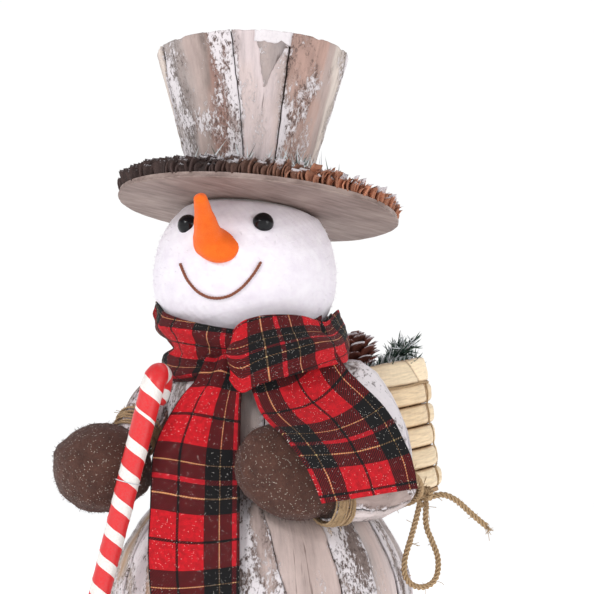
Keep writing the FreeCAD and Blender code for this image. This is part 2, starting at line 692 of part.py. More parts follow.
doc.recompute()
failed = [obj.Label for obj in doc.Objects if "Invalid" in obj.State or "Error" in obj.State]
if failed:
    raise RuntimeError(f"objects failed: {failed}")
for name, obj in nodes.items():
    shape = obj.Shape
    if shape.isNull() or not shape.isValid() or not shape.Solids:
        raise RuntimeError(f"{name} has no valid solid")
    if shape.Volume <= 0:
        raise RuntimeError(f"{name} is inside out")

for name, spine in (("loop_tube", loop_route), ("tail_tube", tail_route)):
    section = math.pi * size("jute_radius") ** 2
    swept = doc.getObject(name).Shape.Volume
    print(f"{name}: volume {swept:.0f}, section times length {section * spine.Shape.Length:.0f}")

os.makedirs("parts", exist_ok=True)
for name, obj in nodes.items():
    obj.Shape.exportStep(f"parts/{name}.step")
print(f"{len(nodes)} sub-parts written")
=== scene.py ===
"""Looks of the snowman figure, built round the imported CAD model.

Points are written in millimetres and turned into metres when a piece is made. Most soft pieces are
set out in the dressed frame, which is the figure's frame turned by DRESS_TURN about +Z: first
number across to the figure's left, second towards its back, third up.
"""

import json
import math

import bmesh
import bpy
import numpy as np
from mathutils import Matrix, Vector


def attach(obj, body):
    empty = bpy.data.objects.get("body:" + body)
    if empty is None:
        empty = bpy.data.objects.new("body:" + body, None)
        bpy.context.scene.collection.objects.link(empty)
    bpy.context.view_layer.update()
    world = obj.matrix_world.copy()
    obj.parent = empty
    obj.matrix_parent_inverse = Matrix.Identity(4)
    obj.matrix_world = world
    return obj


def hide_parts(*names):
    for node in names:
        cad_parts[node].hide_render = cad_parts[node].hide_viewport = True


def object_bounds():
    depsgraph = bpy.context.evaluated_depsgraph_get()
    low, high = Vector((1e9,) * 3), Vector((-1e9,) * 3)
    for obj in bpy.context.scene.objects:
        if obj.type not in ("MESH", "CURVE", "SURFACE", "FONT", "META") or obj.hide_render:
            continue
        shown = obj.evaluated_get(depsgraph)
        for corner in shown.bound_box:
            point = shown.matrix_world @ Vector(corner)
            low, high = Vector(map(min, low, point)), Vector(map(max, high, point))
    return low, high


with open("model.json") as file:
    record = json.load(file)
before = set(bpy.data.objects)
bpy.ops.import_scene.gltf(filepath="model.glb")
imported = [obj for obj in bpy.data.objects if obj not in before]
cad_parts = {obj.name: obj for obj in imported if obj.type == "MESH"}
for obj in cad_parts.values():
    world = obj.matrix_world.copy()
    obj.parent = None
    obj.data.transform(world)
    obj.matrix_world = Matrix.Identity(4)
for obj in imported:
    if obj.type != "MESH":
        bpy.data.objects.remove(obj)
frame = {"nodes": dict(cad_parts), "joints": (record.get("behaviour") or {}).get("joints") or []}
cad_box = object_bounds()

MM = 0.001
DRESS_TURN = 15
PLAIN = Matrix.Identity(4)
TAU = 2 * math.pi


def turned(degrees, axis):
    return Matrix.Rotation(math.radians(degrees), 4, axis)


def moved(*place):
    return Matrix.Translation(place)


# ---- sizes shared by several pieces, millimetres ----

HEAD = np.array([-12.5, 0.0, 338.0])
HEAD_RADIUS = 66.0
LOWER_MIDDLE, LOWER_CORE = 98.0, 106.0
UPPER_MIDDLE, UPPER_CORE = 228.0, 70.0
WAIST, NECK = 188.0, 287.0
BRIM_RADIUS, BRIM_TOP = 101.5, 2.0
CROWN_LOW, CROWN_TOP, CROWN_SUNK, CROWN_HEIGHT = 33.4, 70.0, 12.0, 111.0
ROW_STARTS = (-16, -9, -13, -20, -17)
WEAVE_LOW, ROW_HEIGHT, WEAVE_ROWS = 174.5, 16.0, 5
BASKET_FOOT, BASKET_MOUTH, RIM_HEIGHT = 42.0, 49.5, 19.0
EYE_RADIUS = 5  # of the two twine eyes that the basket hangs by
ELBOW = np.array([91, -45, 190])
JUTE, CLOTH = 4.2, 1.5  # thicknesses
WEAVE_TOP = WEAVE_LOW + WEAVE_ROWS * ROW_HEIGHT
BASKET_FLARE = (BASKET_MOUTH - BASKET_FOOT) / (WEAVE_TOP - WEAVE_LOW)
PLAITS = 7  # in each row of the basket

DRESSED = turned(DRESS_TURN, "Z")
BACK_TILT = turned(-6.2, "X")
BRIM_FRAME = DRESSED @ moved(-3, 0, 387) @ BACK_TILT @ turned(5.5, "Y")
CROWN_FRAME = DRESSED @ moved(-9, 0, 388) @ BACK_TILT @ turned(1, "Y")
# The basket leans; its heights are those it would have upright.
BASKET_FRAME = DRESSED @ moved(83, 97, 220.5) @ turned(-12, "Y") @ moved(0, 0, -220.5)
HEAD_SPOT = np.array(DRESSED @ Vector(HEAD))  # in the figure's own frame
CANE_FRAME = DRESSED @ moved(-88.4, -88, 193.4) @ turned(14.1, "Y")


def srgb(red, green, blue):
    """An 8-bit screen colour as linear numbers."""
    return tuple(((c / 255 + 0.055) / 1.055) ** 2.4 if c > 10 else c / 3294.6 for c in (red, green, blue))


# ---- camera, light and floor ----


def add_object(name, data):
    made = bpy.data.objects.new(name, data)
    bpy.context.scene.collection.objects.link(made)
    return made


def aim_at(made, place, target):
    """Moves a camera or lamp and turns it to look at the target."""
    made.location = place
    made.rotation_mode = "QUATERNION"
    made.rotation_quaternion = (target - made.location).to_track_quat("-Z", "Y")


def set_stage():
    camera = add_object("camera", bpy.data.cameras.new("camera"))
    bpy.context.scene.camera = camera
    camera.data.sensor_width = 36
    camera.data.lens = 118
    camera.data.clip_start = 0.05
    aim_at(camera, DRESSED @ Vector((25, -1400, 240)) * MM, DRESSED @ Vector((25, 0, 323)) * MM)

    world = bpy.data.worlds.new("studio")
    bpy.context.scene.world = world
    world.use_nodes = True
    tree = world.node_tree
    sky = tree.nodes["Background"]
    sky.inputs["Strength"].default_value = 1.0
    # White round the horizon, dimmer overhead, so that the lamps can model the shapes.
    split = tree.nodes.new("ShaderNodeSeparateXYZ")
    tree.links.new(tree.nodes.new("ShaderNodeTexCoord").outputs["Generated"], split.inputs[0])
    ramp = tree.nodes.new("ShaderNodeValToRGB")
    tree.links.new(split.outputs[2], ramp.inputs[0])
    tree.links.new(ramp.outputs[0], sky.inputs["Color"])
    ramp.color_ramp.elements[0].position = 0.24
    ramp.color_ramp.elements[0].color = (1.02, 1.02, 1.02, 1)
    ramp.color_ramp.elements[1].position = 0.42
    ramp.color_ramp.elements[1].color = (0.42, 0.43, 0.45, 1)
    bpy.context.scene.view_settings.view_transform = "Standard"
    for name, place, power, width in (("key", (-1.0, -1.4, 1.4), 14, 0.4),
                                      ("fill", (1.3, -1.2, 0.5), 5, 0.6),
                                      ("rim", (0.5, 1.3, 1.3), 8, 1.0)):
        light = bpy.data.lights.new(name, "AREA")
        light.energy = power
        light.size = width
        aim_at(add_object(name, light), DRESSED @ Vector(place), Vector((0, 0, 0.28)))

    mesh = bpy.data.meshes.new("floor")
    reach = 4.0
    corners = (-reach, -reach, 0), (reach, -reach, 0), (reach, reach, 0), (-reach, reach, 0)
    mesh.from_pydata(corners, [], [(0, 1, 2, 3)])
    floor = add_object("floor", mesh)
    floor.location.z = cad_box[0][2] - 0.0005
    paint = bpy.data.materials.new("floor_paint")
    paint.use_nodes = True
    surface = paint.node_tree.nodes["Principled BSDF"]
    surface.inputs["Base Color"].default_value = (0.5, 0.5, 0.5, 1)
    surface.inputs["Roughness"].default_value = 0.9
    # A lit table: its own glow keeps it near white as far as the horizon.
    surface.inputs["Emission Color"].default_value = (1, 1, 1, 1)
    surface.inputs["Emission Strength"].default_value = 0.74
    mesh.materials.append(paint)


# ---- materials ----


class Shader:
    """A node material built step by step; each method adds a node and returns its output."""

    def __init__(self, name, roughness=0.7, sheen=0.0, **extra):
        self.material = bpy.data.materials.new(name)
        self.material.use_nodes = True
        self.tree = self.material.node_tree
        self.surface = self.tree.nodes["Principled BSDF"]
        self.surface.inputs["Roughness"].default_value = roughness
        self.surface.inputs["Sheen Weight"].default_value = sheen
        for key, value in extra.items():
            self.surface.inputs[key.replace("_", " ")].default_value = value

    def feed(self, socket, value):
        if isinstance(value, bpy.types.NodeSocket):
            self.tree.links.new(value, socket)
        elif isinstance(value, tuple) and len(value) == 3 and socket.type == "RGBA":
            socket.default_value = (*value, 1)
        else:
            socket.default_value = value

    def add(self, kind, settings=None, **inputs):
        made = self.tree.nodes.new("ShaderNode" + kind)
        for key, value in (settings or {}).items():
            setattr(made, key, value)
        for key, value in inputs.items():
            self.feed(made.inputs[key], value)
        return made

    def math(self, operation, first, second=0.0, third=0.0):
        made = self.tree.nodes.new("ShaderNodeMath")
        made.operation = operation
        for socket, value in zip(made.inputs, (first, second, third)):
            self.feed(socket, value)
        return made.outputs[0]

    def times(self, first, second):
        return self.math("MULTIPLY", first, second)

    def plus(self, first, second):
        return self.math("ADD", first, second)

    def total(self, *parts):
        """The sum of (value, weight) pairs."""
        terms = [self.times(value, weight) if weight != 1 else value for value, weight in parts]
        result = terms[0]
        for term in terms[1:]:
            result = self.plus(result, term)
        return result

    def mark(self):
        """The pattern coordinates that the piece carries, in metres."""
        return self.add("Attribute", {"attribute_name": "mark"}).outputs["Vector"]

    def tint(self):
        return self.add("Attribute", {"attribute_name": "tint"})

    def place(self):
        return self.add("TexCoord").outputs["Object"]

    def stretch(self, vector, scale):
        return self.add("Mapping", Vector=vector, Scale=scale).outputs[0]

    def noise(self, vector, scale, detail=4.0, roughness=0.6, distortion=0.0):
        return self.add("TexNoise", Vector=vector, Scale=scale, Detail=detail, Roughness=roughness,
                        Distortion=distortion).outputs["Fac"]

    def ramp(self, factor, stops, hard=False):
        made = self.add("ValToRGB", Fac=factor)
        ramp = made.color_ramp
        ramp.interpolation = "CONSTANT" if hard else "LINEAR"
        while len(ramp.elements) < len(stops):
            ramp.elements.new(0.5)
        for element, (position, colour) in zip(ramp.elements, stops):
            element.position = position
            element.color = (*colour, 1) if isinstance(colour, tuple) else (colour, colour, colour, 1)
        return made.outputs["Color"]

    def mix(self, factor, first, second, blend="MIX"):
        made = self.tree.nodes.new("ShaderNodeMix")
        made.data_type = "RGBA"
        made.blend_type = blend
        for index, value in ((0, factor), (6, first), (7, second)):
            self.feed(made.inputs[index], value)
        return made.outputs[2]

    def shade(self, first, second):
        return self.mix(1.0, first, second, "MULTIPLY")

    def colour(self, value):
        self.feed(self.surface.inputs["Base Color"], value)

    def rough(self, value):
        self.feed(self.surface.inputs["Roughness"], value)

    def glow(self, colour, strength):
        self.feed(self.surface.inputs["Emission Color"], colour)
        self.feed(self.surface.inputs["Emission Strength"], strength)

    def bump(self, height, distance, strength=1.0):
        made = self.add("Bump", Height=height, Distance=distance, Strength=strength)
        self.tree.links.new(made.outputs[0], self.surface.inputs["Normal"])

    def glitter(self, vector, scale, share):
        """1 on sparse tiny specks, 0 elsewhere."""
        cells = self.add("TexVoronoi", Vector=vector, Scale=scale)
        near = self.math("LESS_THAN", cells.outputs["Distance"], 0.26)
        pick = self.math("GREATER_THAN", self.add("SeparateColor", Color=cells.outputs["Color"]).outputs[0],
                         1 - share)
        return self.times(near, pick)


def bark_material():
    m = Shader("bark", 0.78)
    mark = m.mark()
    tint = m.tint()
    streak = m.noise(m.stretch(mark, (1.0, 0.1, 1.0)), 330, 6, 0.65)
    cloud = m.noise(m.stretch(mark, (1.0, 0.4, 1.0)), 62, 4, 0.6)
    fleck = m.noise(m.stretch(mark, (1.0, 0.55, 1.0)), 520, 5, 0.72, 0.4)
    shade = m.ramp(streak, [(0.28, 0.78), (0.5, 0.98), (0.72, 1.1)])
    base = m.shade(tint.outputs["Color"], shade)
    base = m.mix(m.ramp(cloud, [(0.42, 0.0), (0.62, 0.4)]), base, srgb(214, 192, 184))
    level = m.total((cloud, 0.55), (fleck, 0.75), (tint.outputs["Alpha"], 0.30))
    wash = m.ramp(level, [(0.80, 0.0), (0.86, 1.0)])
    crack = m.ramp(m.noise(m.stretch(mark, (1.0, 0.07, 1.0)), 210, 3, 0.5, 0.3), [(0.30, 1.0), (0.34, 0.0)])
    base = m.mix(m.times(crack, 0.7), base, srgb(92, 74, 68))
    # Where the whitewash flakes, the bark under it is dark and pitted.
    flaking = m.ramp(tint.outputs["Alpha"], [(0.25, 0.0), (0.5, 0.62)])
    base = m.mix(flaking, base, m.mix(0.55, base, srgb(98, 80, 74)))
    chips = m.times(m.math("LESS_THAN", fleck, 0.44), flaking)
    base = m.mix(m.times(chips, 1.2), base, srgb(66, 50, 46))
    m.colour(m.mix(m.times(wash, 0.88), base, srgb(236, 229, 232)))
    m.bump(m.total((streak, 0.8), (wash, 0.5), (fleck, 0.7)), 0.0009, 0.75)
    return m.material


# Dark brown for the foam cores, which show only in the gaps between bark strips: painted shade there.
def gap_shade_core_material():
    m = Shader("core_gap_shade", 0.9)
    grain = m.noise(m.stretch(m.place(), (1, 1, 0.2)), 240)
    m.colour(m.ramp(grain, [(0.3, srgb(34, 25, 22)), (0.7, srgb(84, 66, 58))]))
    m.bump(grain, 0.001, 0.8)
    return m.material


def veneer_material():
    m = Shader("veneer", 0.62)
    turn = m.add("Mapping", Vector=m.place(), Rotation=(0, 0, math.radians(38))).outputs[0]
    streak = m.noise(m.stretch(turn, (1.0, 0.09, 1.0)), 210, 6, 0.62)
    cloud = m.noise(turn, 26, 3)
    base = m.ramp(streak, [(0.25, srgb(104, 84, 77)), (0.5, srgb(139, 118, 111)),
                           (0.75, srgb(168, 148, 140))])
    m.colour(m.mix(m.ramp(cloud, [(0.45, 0.0), (0.7, 0.5)]), base, srgb(178, 158, 149)))
    m.bump(streak, 0.0004, 0.5)
    return m.material


def fleece_material():
    m = Shader("fleece", 0.95, 0.35)
    nap = m.noise(m.place(), 1500, 6, 0.75)
    soft = m.noise(m.place(), 90, 3)
    m.colour(m.ramp(soft, [(0.3, srgb(236, 228, 238)), (0.7, srgb(248, 243, 249))]))
    m.bump(m.total((nap, 1), (soft, 0.8)), 0.0006, 0.45)
    return m.material


def felt_material(name, dark, light, glitter):
    m = Shader(name, 0.95, 0.12)
    place = m.place()
    fuzz = m.noise(place, 1100, 6, 0.8, 0.6)
    lump = m.noise(place, 130, 4)
    base = m.ramp(m.total((fuzz, 0.7), (lump, 0.3)),
                  [(0.32, dark), (0.66, light)])
    if glitter:
        specks = m.glitter(place, 1500, glitter)
        base = m.mix(specks, base, srgb(255, 244, 226))
        m.rough(m.math("SUBTRACT", 0.95, m.times(specks, 0.7)))
        # The glitter specks also glow: a painted glint.
        m.glow((1.0, 0.95, 0.85), m.times(specks, 0.35))
    m.colour(base)
    m.bump(m.total((fuzz, 1), (lump, 0.6)), 0.0007, 0.7)
    return m.material


def tartan_material():
    """A sett of red, black, navy and yellow lines, the same both ways, woven as a twill."""
    m = Shader("tartan", 0.95, 0.0)
    mark = m.mark()
    split = m.add("SeparateXYZ", Vector=mark)
    sett = 0.0836
    red, black, navy = srgb(208, 14, 30), srgb(12, 8, 12), srgb(10, 12, 20)
    gold, thin_red = srgb(226, 206, 136), srgb(180, 16, 34)
    widths = [(18.5, red), (1.7, black), (18.5, red), (10.8, navy), (0.8, gold), (9, navy), (3.2, thin_red),
              (9, navy), (0.8, gold), (11.0, navy)]
    total = sum(width for width, _ in widths)

    def threads(axis):
        """Colour and darkness of the threads that lie at this place across them."""
        turns = m.math("FRACT", m.math("DIVIDE", m.plus(axis, 7 * sett), sett))
        stops, dark, run = [], [], 0.0
        for width, colour in widths:
            stops.append((run / total, colour))
            dark.append((run / total, 1.0 if colour in (navy, black) else 0.0))
            run += width
        return m.ramp(turns, stops, hard=True), m.ramp(turns, dark, hard=True)

    across, along = split.outputs[0], split.outputs[1]
    twill = m.math("FRACT", m.math("DIVIDE", m.plus(m.plus(across, along), 1.0), 0.0019))
    over = m.math("GREATER_THAN", twill, 0.5)
    (warp, warp_dark), (weft, weft_dark) = threads(across), threads(along)
    cloth = m.mix(over, warp, weft)
    shade = m.times(m.math("MAXIMUM", warp_dark, weft_dark), 0.9)
    cloth = m.mix(shade, cloth, m.shade(cloth, srgb(128, 96, 110)))
    fuzz = m.noise(mark, 1500, 5, 0.75)
    cloth = m.shade(cloth, m.ramp(fuzz, [(0.3, 0.6), (0.7, 1.25)]))
    blotch = m.noise(mark, 240, 4, 0.7)
    cloth = m.shade(cloth, m.ramp(blotch, [(0.35, 0.7), (0.6, 1.1)]))
    specks = m.glitter(mark, 1700, 0.055)
    m.colour(m.mix(specks, cloth, srgb(255, 248, 240)))
    # The glitter specks also glow: a painted glint.
    m.glow((1.0, 0.97, 0.92), m.times(specks, 0.3))
    m.bump(m.total((over, 0.35), (fuzz, 1)), 0.0005, 0.6)
    return m.material


def jute_material():
    m = Shader("jute", 0.9, 0.1)
    mark = m.mark()
    fibre = m.noise(m.stretch(mark, (1.0, 5.0, 5.0)), 420, 5, 0.7)
    m.colour(m.ramp(fibre, [(0.28, srgb(138, 106, 72)), (0.5, srgb(192, 160, 120)),
                            (0.74, srgb(228, 202, 166))]))
    m.bump(fibre, 0.0006, 0.9)
    return m.material


def cane_material():
    """Red and white ribbon wound round the rod.

    Its mark holds the cosine and sine of the angle round the rod and the length along it.
    """
    m = Shader("cane_stripes", 0.38, Coat_Weight=0.15)
    split = m.add("SeparateXYZ", Vector=m.mark())
    round_way = m.math("DIVIDE", m.math("ARCTAN2", split.outputs[1], split.outputs[0]), TAU)
    pitch = 0.020
    wander = m.noise(m.place(), 60, 2)
    length = m.plus(split.outputs[2], m.times(wander, 0.0014))
    turns = m.math("FRACT", m.plus(m.math("DIVIDE", length, pitch), m.plus(round_way, 4.0)))
    wound = m.plus(length, m.times(round_way, pitch))
    thin = m.math("LESS_THAN", m.math("ABSOLUTE", m.math("SUBTRACT", wound, 0.234)), 0.010)
    start = m.plus(0.62, m.times(thin, 0.27))
    white = m.math("GREATER_THAN", turns, start)
    dust = m.noise(m.place(), 700, 4)
    ribbon = m.mix(white, srgb(226, 34, 40), srgb(245, 241, 236))
    m.colour(m.mix(m.ramp(dust, [(0.35, 0.16), (0.6, 0.0)]), ribbon, srgb(176, 120, 112)))
    m.bump(m.total((white, 0.6), (dust, 0.3)), 0.0003, 0.5)
    return m.material


def rush_material():
    """The piece's tint shaded by streaks that run along the leaves."""
    m = Shader("rush", 0.5)
    streak = m.noise(m.stretch(m.mark(), (0.15, 1.0, 1.0)), 700, 5, 0.65)
    m.colour(m.shade(m.tint().outputs["Color"], m.ramp(streak, [(0.3, 0.80), (0.7, 1.12)])))
    m.bump(streak, 0.0005, 0.6)
    return m.material


def plain_material(name, colour, roughness, grain, spread, **extra):
    """One colour with a fine mottle and bump."""
    m = Shader(name, roughness, **extra)
    mottle = m.noise(m.place(), grain, 4)
    dark = tuple(c * (1 - spread) for c in colour)
    light = tuple(min(1.0, c * (1 + spread)) for c in colour)
    m.colour(m.ramp(mottle, [(0.3, dark), (0.7, light)]))
    m.bump(mottle, 0.0003, 0.3)
    return m.material


# ---- mesh making ----

WHITE = (1, 1, 1, 0)  # a tint: colour and whitewash or frost


def stacked(*parts):
    """The parts, spread to one shape, as the last axis of one array."""
    return np.stack(np.broadcast_arrays(*parts), -1)


def round_axis(reach, angle, height):
    """Points at a reach from the third axis, at an angle round it and a height along it."""
    return stacked(reach * np.cos(angle), reach * np.sin(angle), height)


def way_out(angle):
    return np.array([math.cos(angle), math.sin(angle), 0.0])


def way_round(angle):
    return np.array([-math.sin(angle), math.cos(angle), 0.0])


def circle_of(angle, first, second):
    """The unit circle's points in the plane of two directions."""
    return np.cos(angle)[..., None] * first + np.sin(angle)[..., None] * second


def full_circle(count):
    return np.linspace(0, TAU, count, endpoint=False)


def steps_down(count):
    """0 to 1 as a column, one step for each row of a grid."""
    return np.linspace(0, 1, count)[:, None]


def steps_across(count):
    """0 to 1 as a row, one step for each column of a grid."""
    return np.linspace(0, 1, count)[None]


def clamp(values):
    return np.clip(values, 0, 1)


def hump(values, middle, width):
    """A smooth hill of height 1 at the middle."""
    return np.exp(-((values - middle) / width) ** 2)


def unit(way):
    """The direction at length 1."""
    return way / np.linalg.norm(way)


class Soup:
    """Collects the closed shells of one piece, with pattern coordinates and tints per point."""

    def __init__(self):
        self.points, self.faces, self.marks, self.tints = [], [], [], []
        self.count = 0

    def add(self, points, faces, marks=None, tint=WHITE):
        points = np.asarray(points, float).reshape(-1, 3)
        number = len(points)
        self.points.append(points)
        self.faces.extend((np.asarray(face) + self.count).tolist() for face in faces)
        self.marks.append(np.zeros((number, 3)) if marks is None
                          else np.asarray(marks, float).reshape(-1, 3))
        tint = np.asarray(tint, float)
        self.tints.append(np.broadcast_to(tint, (number, 4)) if tint.ndim == 1 else tint.reshape(-1, 4))
        self.count += number

    def shell(self, outer, inner, marks=None, tint=WHITE, around=False):
        """A closed sheet between two grids of points, joined round the edge."""
        rows, cols = outer.shape[:2]
        points = np.concatenate([outer.reshape(-1, 3), inner.reshape(-1, 3)])
        if marks is not None:
            marks = np.concatenate([marks.reshape(-1, 3)] * 2)
        tint = np.asarray(tint, float)
        if tint.ndim > 1:
            tint = np.concatenate([tint.reshape(-1, 4)] * 2)
        self.add(points, shell_faces(rows, cols, around), marks, tint)

    def piece(self, name, material, frame_matrix=DRESSED, body="root", slot=None, nodes=()):
        points = np.concatenate(self.points)
        matrix = np.array(frame_matrix)
        points = (points @ matrix[:3, :3].T + matrix[:3, 3]) * MM
        mesh = bpy.data.meshes.new(name)
        mesh.from_pydata(points.tolist(), [], self.faces)
        for label, kind, key, values in (("mark", "FLOAT_VECTOR", "vector", self.marks),
                                         ("tint", "FLOAT_COLOR", "color", self.tints)):
            layer = mesh.attributes.new(label, kind, "POINT")
            layer.data.foreach_set(key, np.concatenate(values).astype(np.float32).ravel())
        return finish_piece(mesh, name, material, body, nodes)


def finish_piece(mesh, name, material, body, nodes):
    """Turns the mesh's faces outward and puts the object on its body."""
    work = bmesh.new()
    work.from_mesh(mesh)
    bmesh.ops.recalc_face_normals(work, faces=work.faces)
    work.to_mesh(mesh)
    work.free()
    mesh.polygons.foreach_set("use_smooth", [True] * len(mesh.polygons))
    mesh.materials.append(material)
    made = add_object(name, mesh)
    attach(made, body)
    if nodes:
        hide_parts(*nodes)
    return made


def shell_faces(rows, cols, around):
    """Faces of two stacked grids, front and back, and the rim that closes them."""
    faces = []
    back = rows * cols
    last = cols if around else cols - 1
    for row in range(rows - 1):
        for col in range(last):
            a = row * cols + col
            b = row * cols + (col + 1) % cols
            faces.append((a, b, b + cols, a + cols))
            faces.append((back + a + cols, back + b + cols, back + b, back + a))
    top = (rows - 1) * cols
    for col in range(last):
        nxt = (col + 1) % cols
        faces.append((nxt, col, back + col, back + nxt))
        faces.append((top + col, top + nxt, back + top + nxt, back + top + col))
    if not around:
        for row in range(rows - 1):
            a = row * cols
            b = a + cols
            faces.append((a, b, back + b, back + a))
            faces.append((b + cols - 1, a + cols - 1, back + a + cols - 1, back + b + cols - 1))
    return faces


def ring_faces(rings, sides):
    """Faces of a closed tube of rings with a cap at each end."""
    faces = []
    for ring in range(rings - 1):
        for side in range(sides):
            a = ring * sides + side
            b = ring * sides + (side + 1) % sides
            faces.append((a, b, b + sides, a + sides))
    faces.append(tuple(range(sides - 1, -1, -1)))
    faces.append(tuple(range((rings - 1) * sides, rings * sides)))
    return faces


def waves(x, y, seed, scale):
    """A smooth bumpy field from -1 to 1 with features of about scale."""
    source = np.random.default_rng(seed)
    total = np.zeros(np.broadcast(x, y).shape)
    for octave in range(5):
        turn = source.uniform(0, TAU)
        size = scale / 1.6 ** octave * source.uniform(0.8, 1.2)
        total += np.sin((x * math.cos(turn) + y * math.sin(turn)) * TAU / size
                        + source.uniform(0, 6.3)) / 1.35 ** octave
    return total / 2.8


def smooth_line(points, count):
    """A curve through the points, evenly stepped in its parameter."""
    points = np.asarray(points, float)
    padded = np.concatenate([[2 * points[0] - points[1]], points, [2 * points[-1] - points[-2]]])
    spots = np.linspace(0, len(points) - 1, count)
    base = np.minimum(spots.astype(int), len(points) - 2)
    t = (spots - base)[:, None]
    a, b, c, d = (padded[base + k] for k in range(4))
    return 0.5 * (2 * b + (c - a) * t + (2 * a - 5 * b + 4 * c - d) * t ** 2
                  + (3 * b - a - 3 * c + d) * t ** 3)


def lengths_along(line):
    """The length from a polyline's start to each of its points."""
    return np.concatenate([[0], np.cumsum(np.linalg.norm(np.diff(line, axis=0), axis=1))])


def even_line(points, step):
    """The polyline stepped evenly along its length."""
    points = np.asarray(points, float)
    lengths = lengths_along(points)
    count = max(3, int(lengths[-1] / step) + 1)
    spots = np.linspace(0, lengths[-1], count)
    return np.stack([np.interp(spots, lengths, points[:, k]) for k in range(3)], 1), spots


def frames_along(line):
    """Two directions across a polyline at each point, carried along it without twist."""
    ahead = np.gradient(line, axis=0)
    ahead /= np.linalg.norm(ahead, axis=1)[:, None]
    side = np.cross(ahead[0], (0.0, 0.0, 1.0))
    if np.linalg.norm(side) < 0.2:
        side = np.cross(ahead[0], (0.0, 1.0, 0.0))
    sides = []
    for way in ahead:
        side = unit(side - way * side.dot(way))
        sides.append(side)
    return np.array(sides), np.cross(ahead, sides)


def rope(soup, points, diameter, strands=3, lay=9.0, step=1.0, tint=WHITE, seed=0, sides=8):
    """Twisted strands round a line; lay is the length of one turn."""
    line, spots = even_line(points, step)
    first, second = frames_along(line)
    strand_radius = diameter / 2 / (1.0, 1.0, 1.9, 2.07)[strands]
    centre_radius = 0.0 if strands == 1 else diameter * 0.535 - strand_radius
    angles = full_circle(sides)
    section = circle_of(angles[None], first[:, None], second[:, None])
    for strand in range(strands):
        swing = spots / lay * TAU + strand * TAU / strands
        spine = line + centre_radius * circle_of(swing, first, second)
        thick = strand_radius * (1 + 0.1 * waves(spots, strand * 5.0, seed, 11.0))
        rings = spine[:, None] + thick[:, None, None] * section
        marks = stacked((spots * MM)[:, None], (angles * 0.002)[None], strand * 0.1)
        soup.add(rings, ring_faces(len(line), sides), marks, tint)


def fibres(soup, middle, way, spread, count, length, seed):
    """Loose hairs that stand out of a twine."""
    source = np.random.default_rng(seed)
    for _ in range(count):
        aim = unit(np.asarray(way, float) + source.normal(0, spread, 3))
        start = np.asarray(middle, float) + source.normal(0, 1.2, 3)
        bend = source.normal(0, 0.25, 3)
        reach = length * source.uniform(0.5, 1.1)
        line = [start, start + (aim + bend * 0.3) * reach * 0.5, start + (aim + bend) * reach]
        rope(soup, smooth_line(line, 6), 0.42, strands=1, step=1.2, sides=4)


def needle(soup, foot, tip, width, tint):
    """A thin three-sided needle, closed at its foot."""
    foot, tip = np.asarray(foot, float), np.asarray(tip, float)
    way = tip - foot
    side = unit(np.cross(way, (0.3, 0.5, 0.81)))
    other = unit(np.cross(way, side))
    thirds = (0, 2.094, 4.189)
    low = [foot + width / 2 * (math.cos(turn) * side + math.sin(turn) * other) for turn in thirds]
    high = [foot + way * 0.7 + width / 2 * (math.cos(turn) * side + math.sin(turn) * other)
            for turn in thirds]
    faces = [(0, 1, 4, 3), (1, 2, 5, 4), (2, 0, 3, 5), (3, 4, 6), (4, 5, 6), (5, 3, 6), (2, 1, 0)]
    soup.add(low + high + [tip], faces, None, tint)


# ---- jute cords: the hanging loop, the loose tail and the knot they leave ----

LOOP = [
    (115.2, -37, 176.8), (113.6, -37, 163.1), (119, -36, 150.6), (123.9, -36, 138), (122.2, -38.5, 124.4),
    (114.5, -41.5, 118.8), (105.1, -45, 119.8), (98.9, -47, 127), (99, -47.5, 138.5), (102.8, -45.5, 150),
    (107.3, -42.3, 164), (110.5, -38.5, 176.5),
]
TAIL = [
    (115.6, -37, 179.8), (121.2, -36.5, 182.5), (128.9, -36, 182.8), (137.3, -35.5, 178.3), (147, -35, 169),
    (157, -35, 160.8),
]
KNOT = np.array([112.5, -37.0, 182.5])


def nurbs_line(name, points):
    """Points of a smooth line that follows a route, in metres."""
    curve = bpy.data.curves.new(name, "CURVE")
    curve.dimensions = "3D"
    spline = curve.splines.new("NURBS")
    spline.points.add(len(points) - 1)
    for spot, point in zip(spline.points, points):
        spot.co = (*(DRESSED @ Vector(point) * MM), 1)
    spline.order_u = 3
    spline.use_endpoint_u = True
    spline.resolution_u = 16
    made = bpy.data.objects.new(name, curve)
    mesh = bpy.data.meshes.new_from_object(made)
    line = np.array([vertex.co for vertex in mesh.vertices])
    bpy.data.objects.remove(made)
    bpy.data.meshes.remove(mesh)
    return line


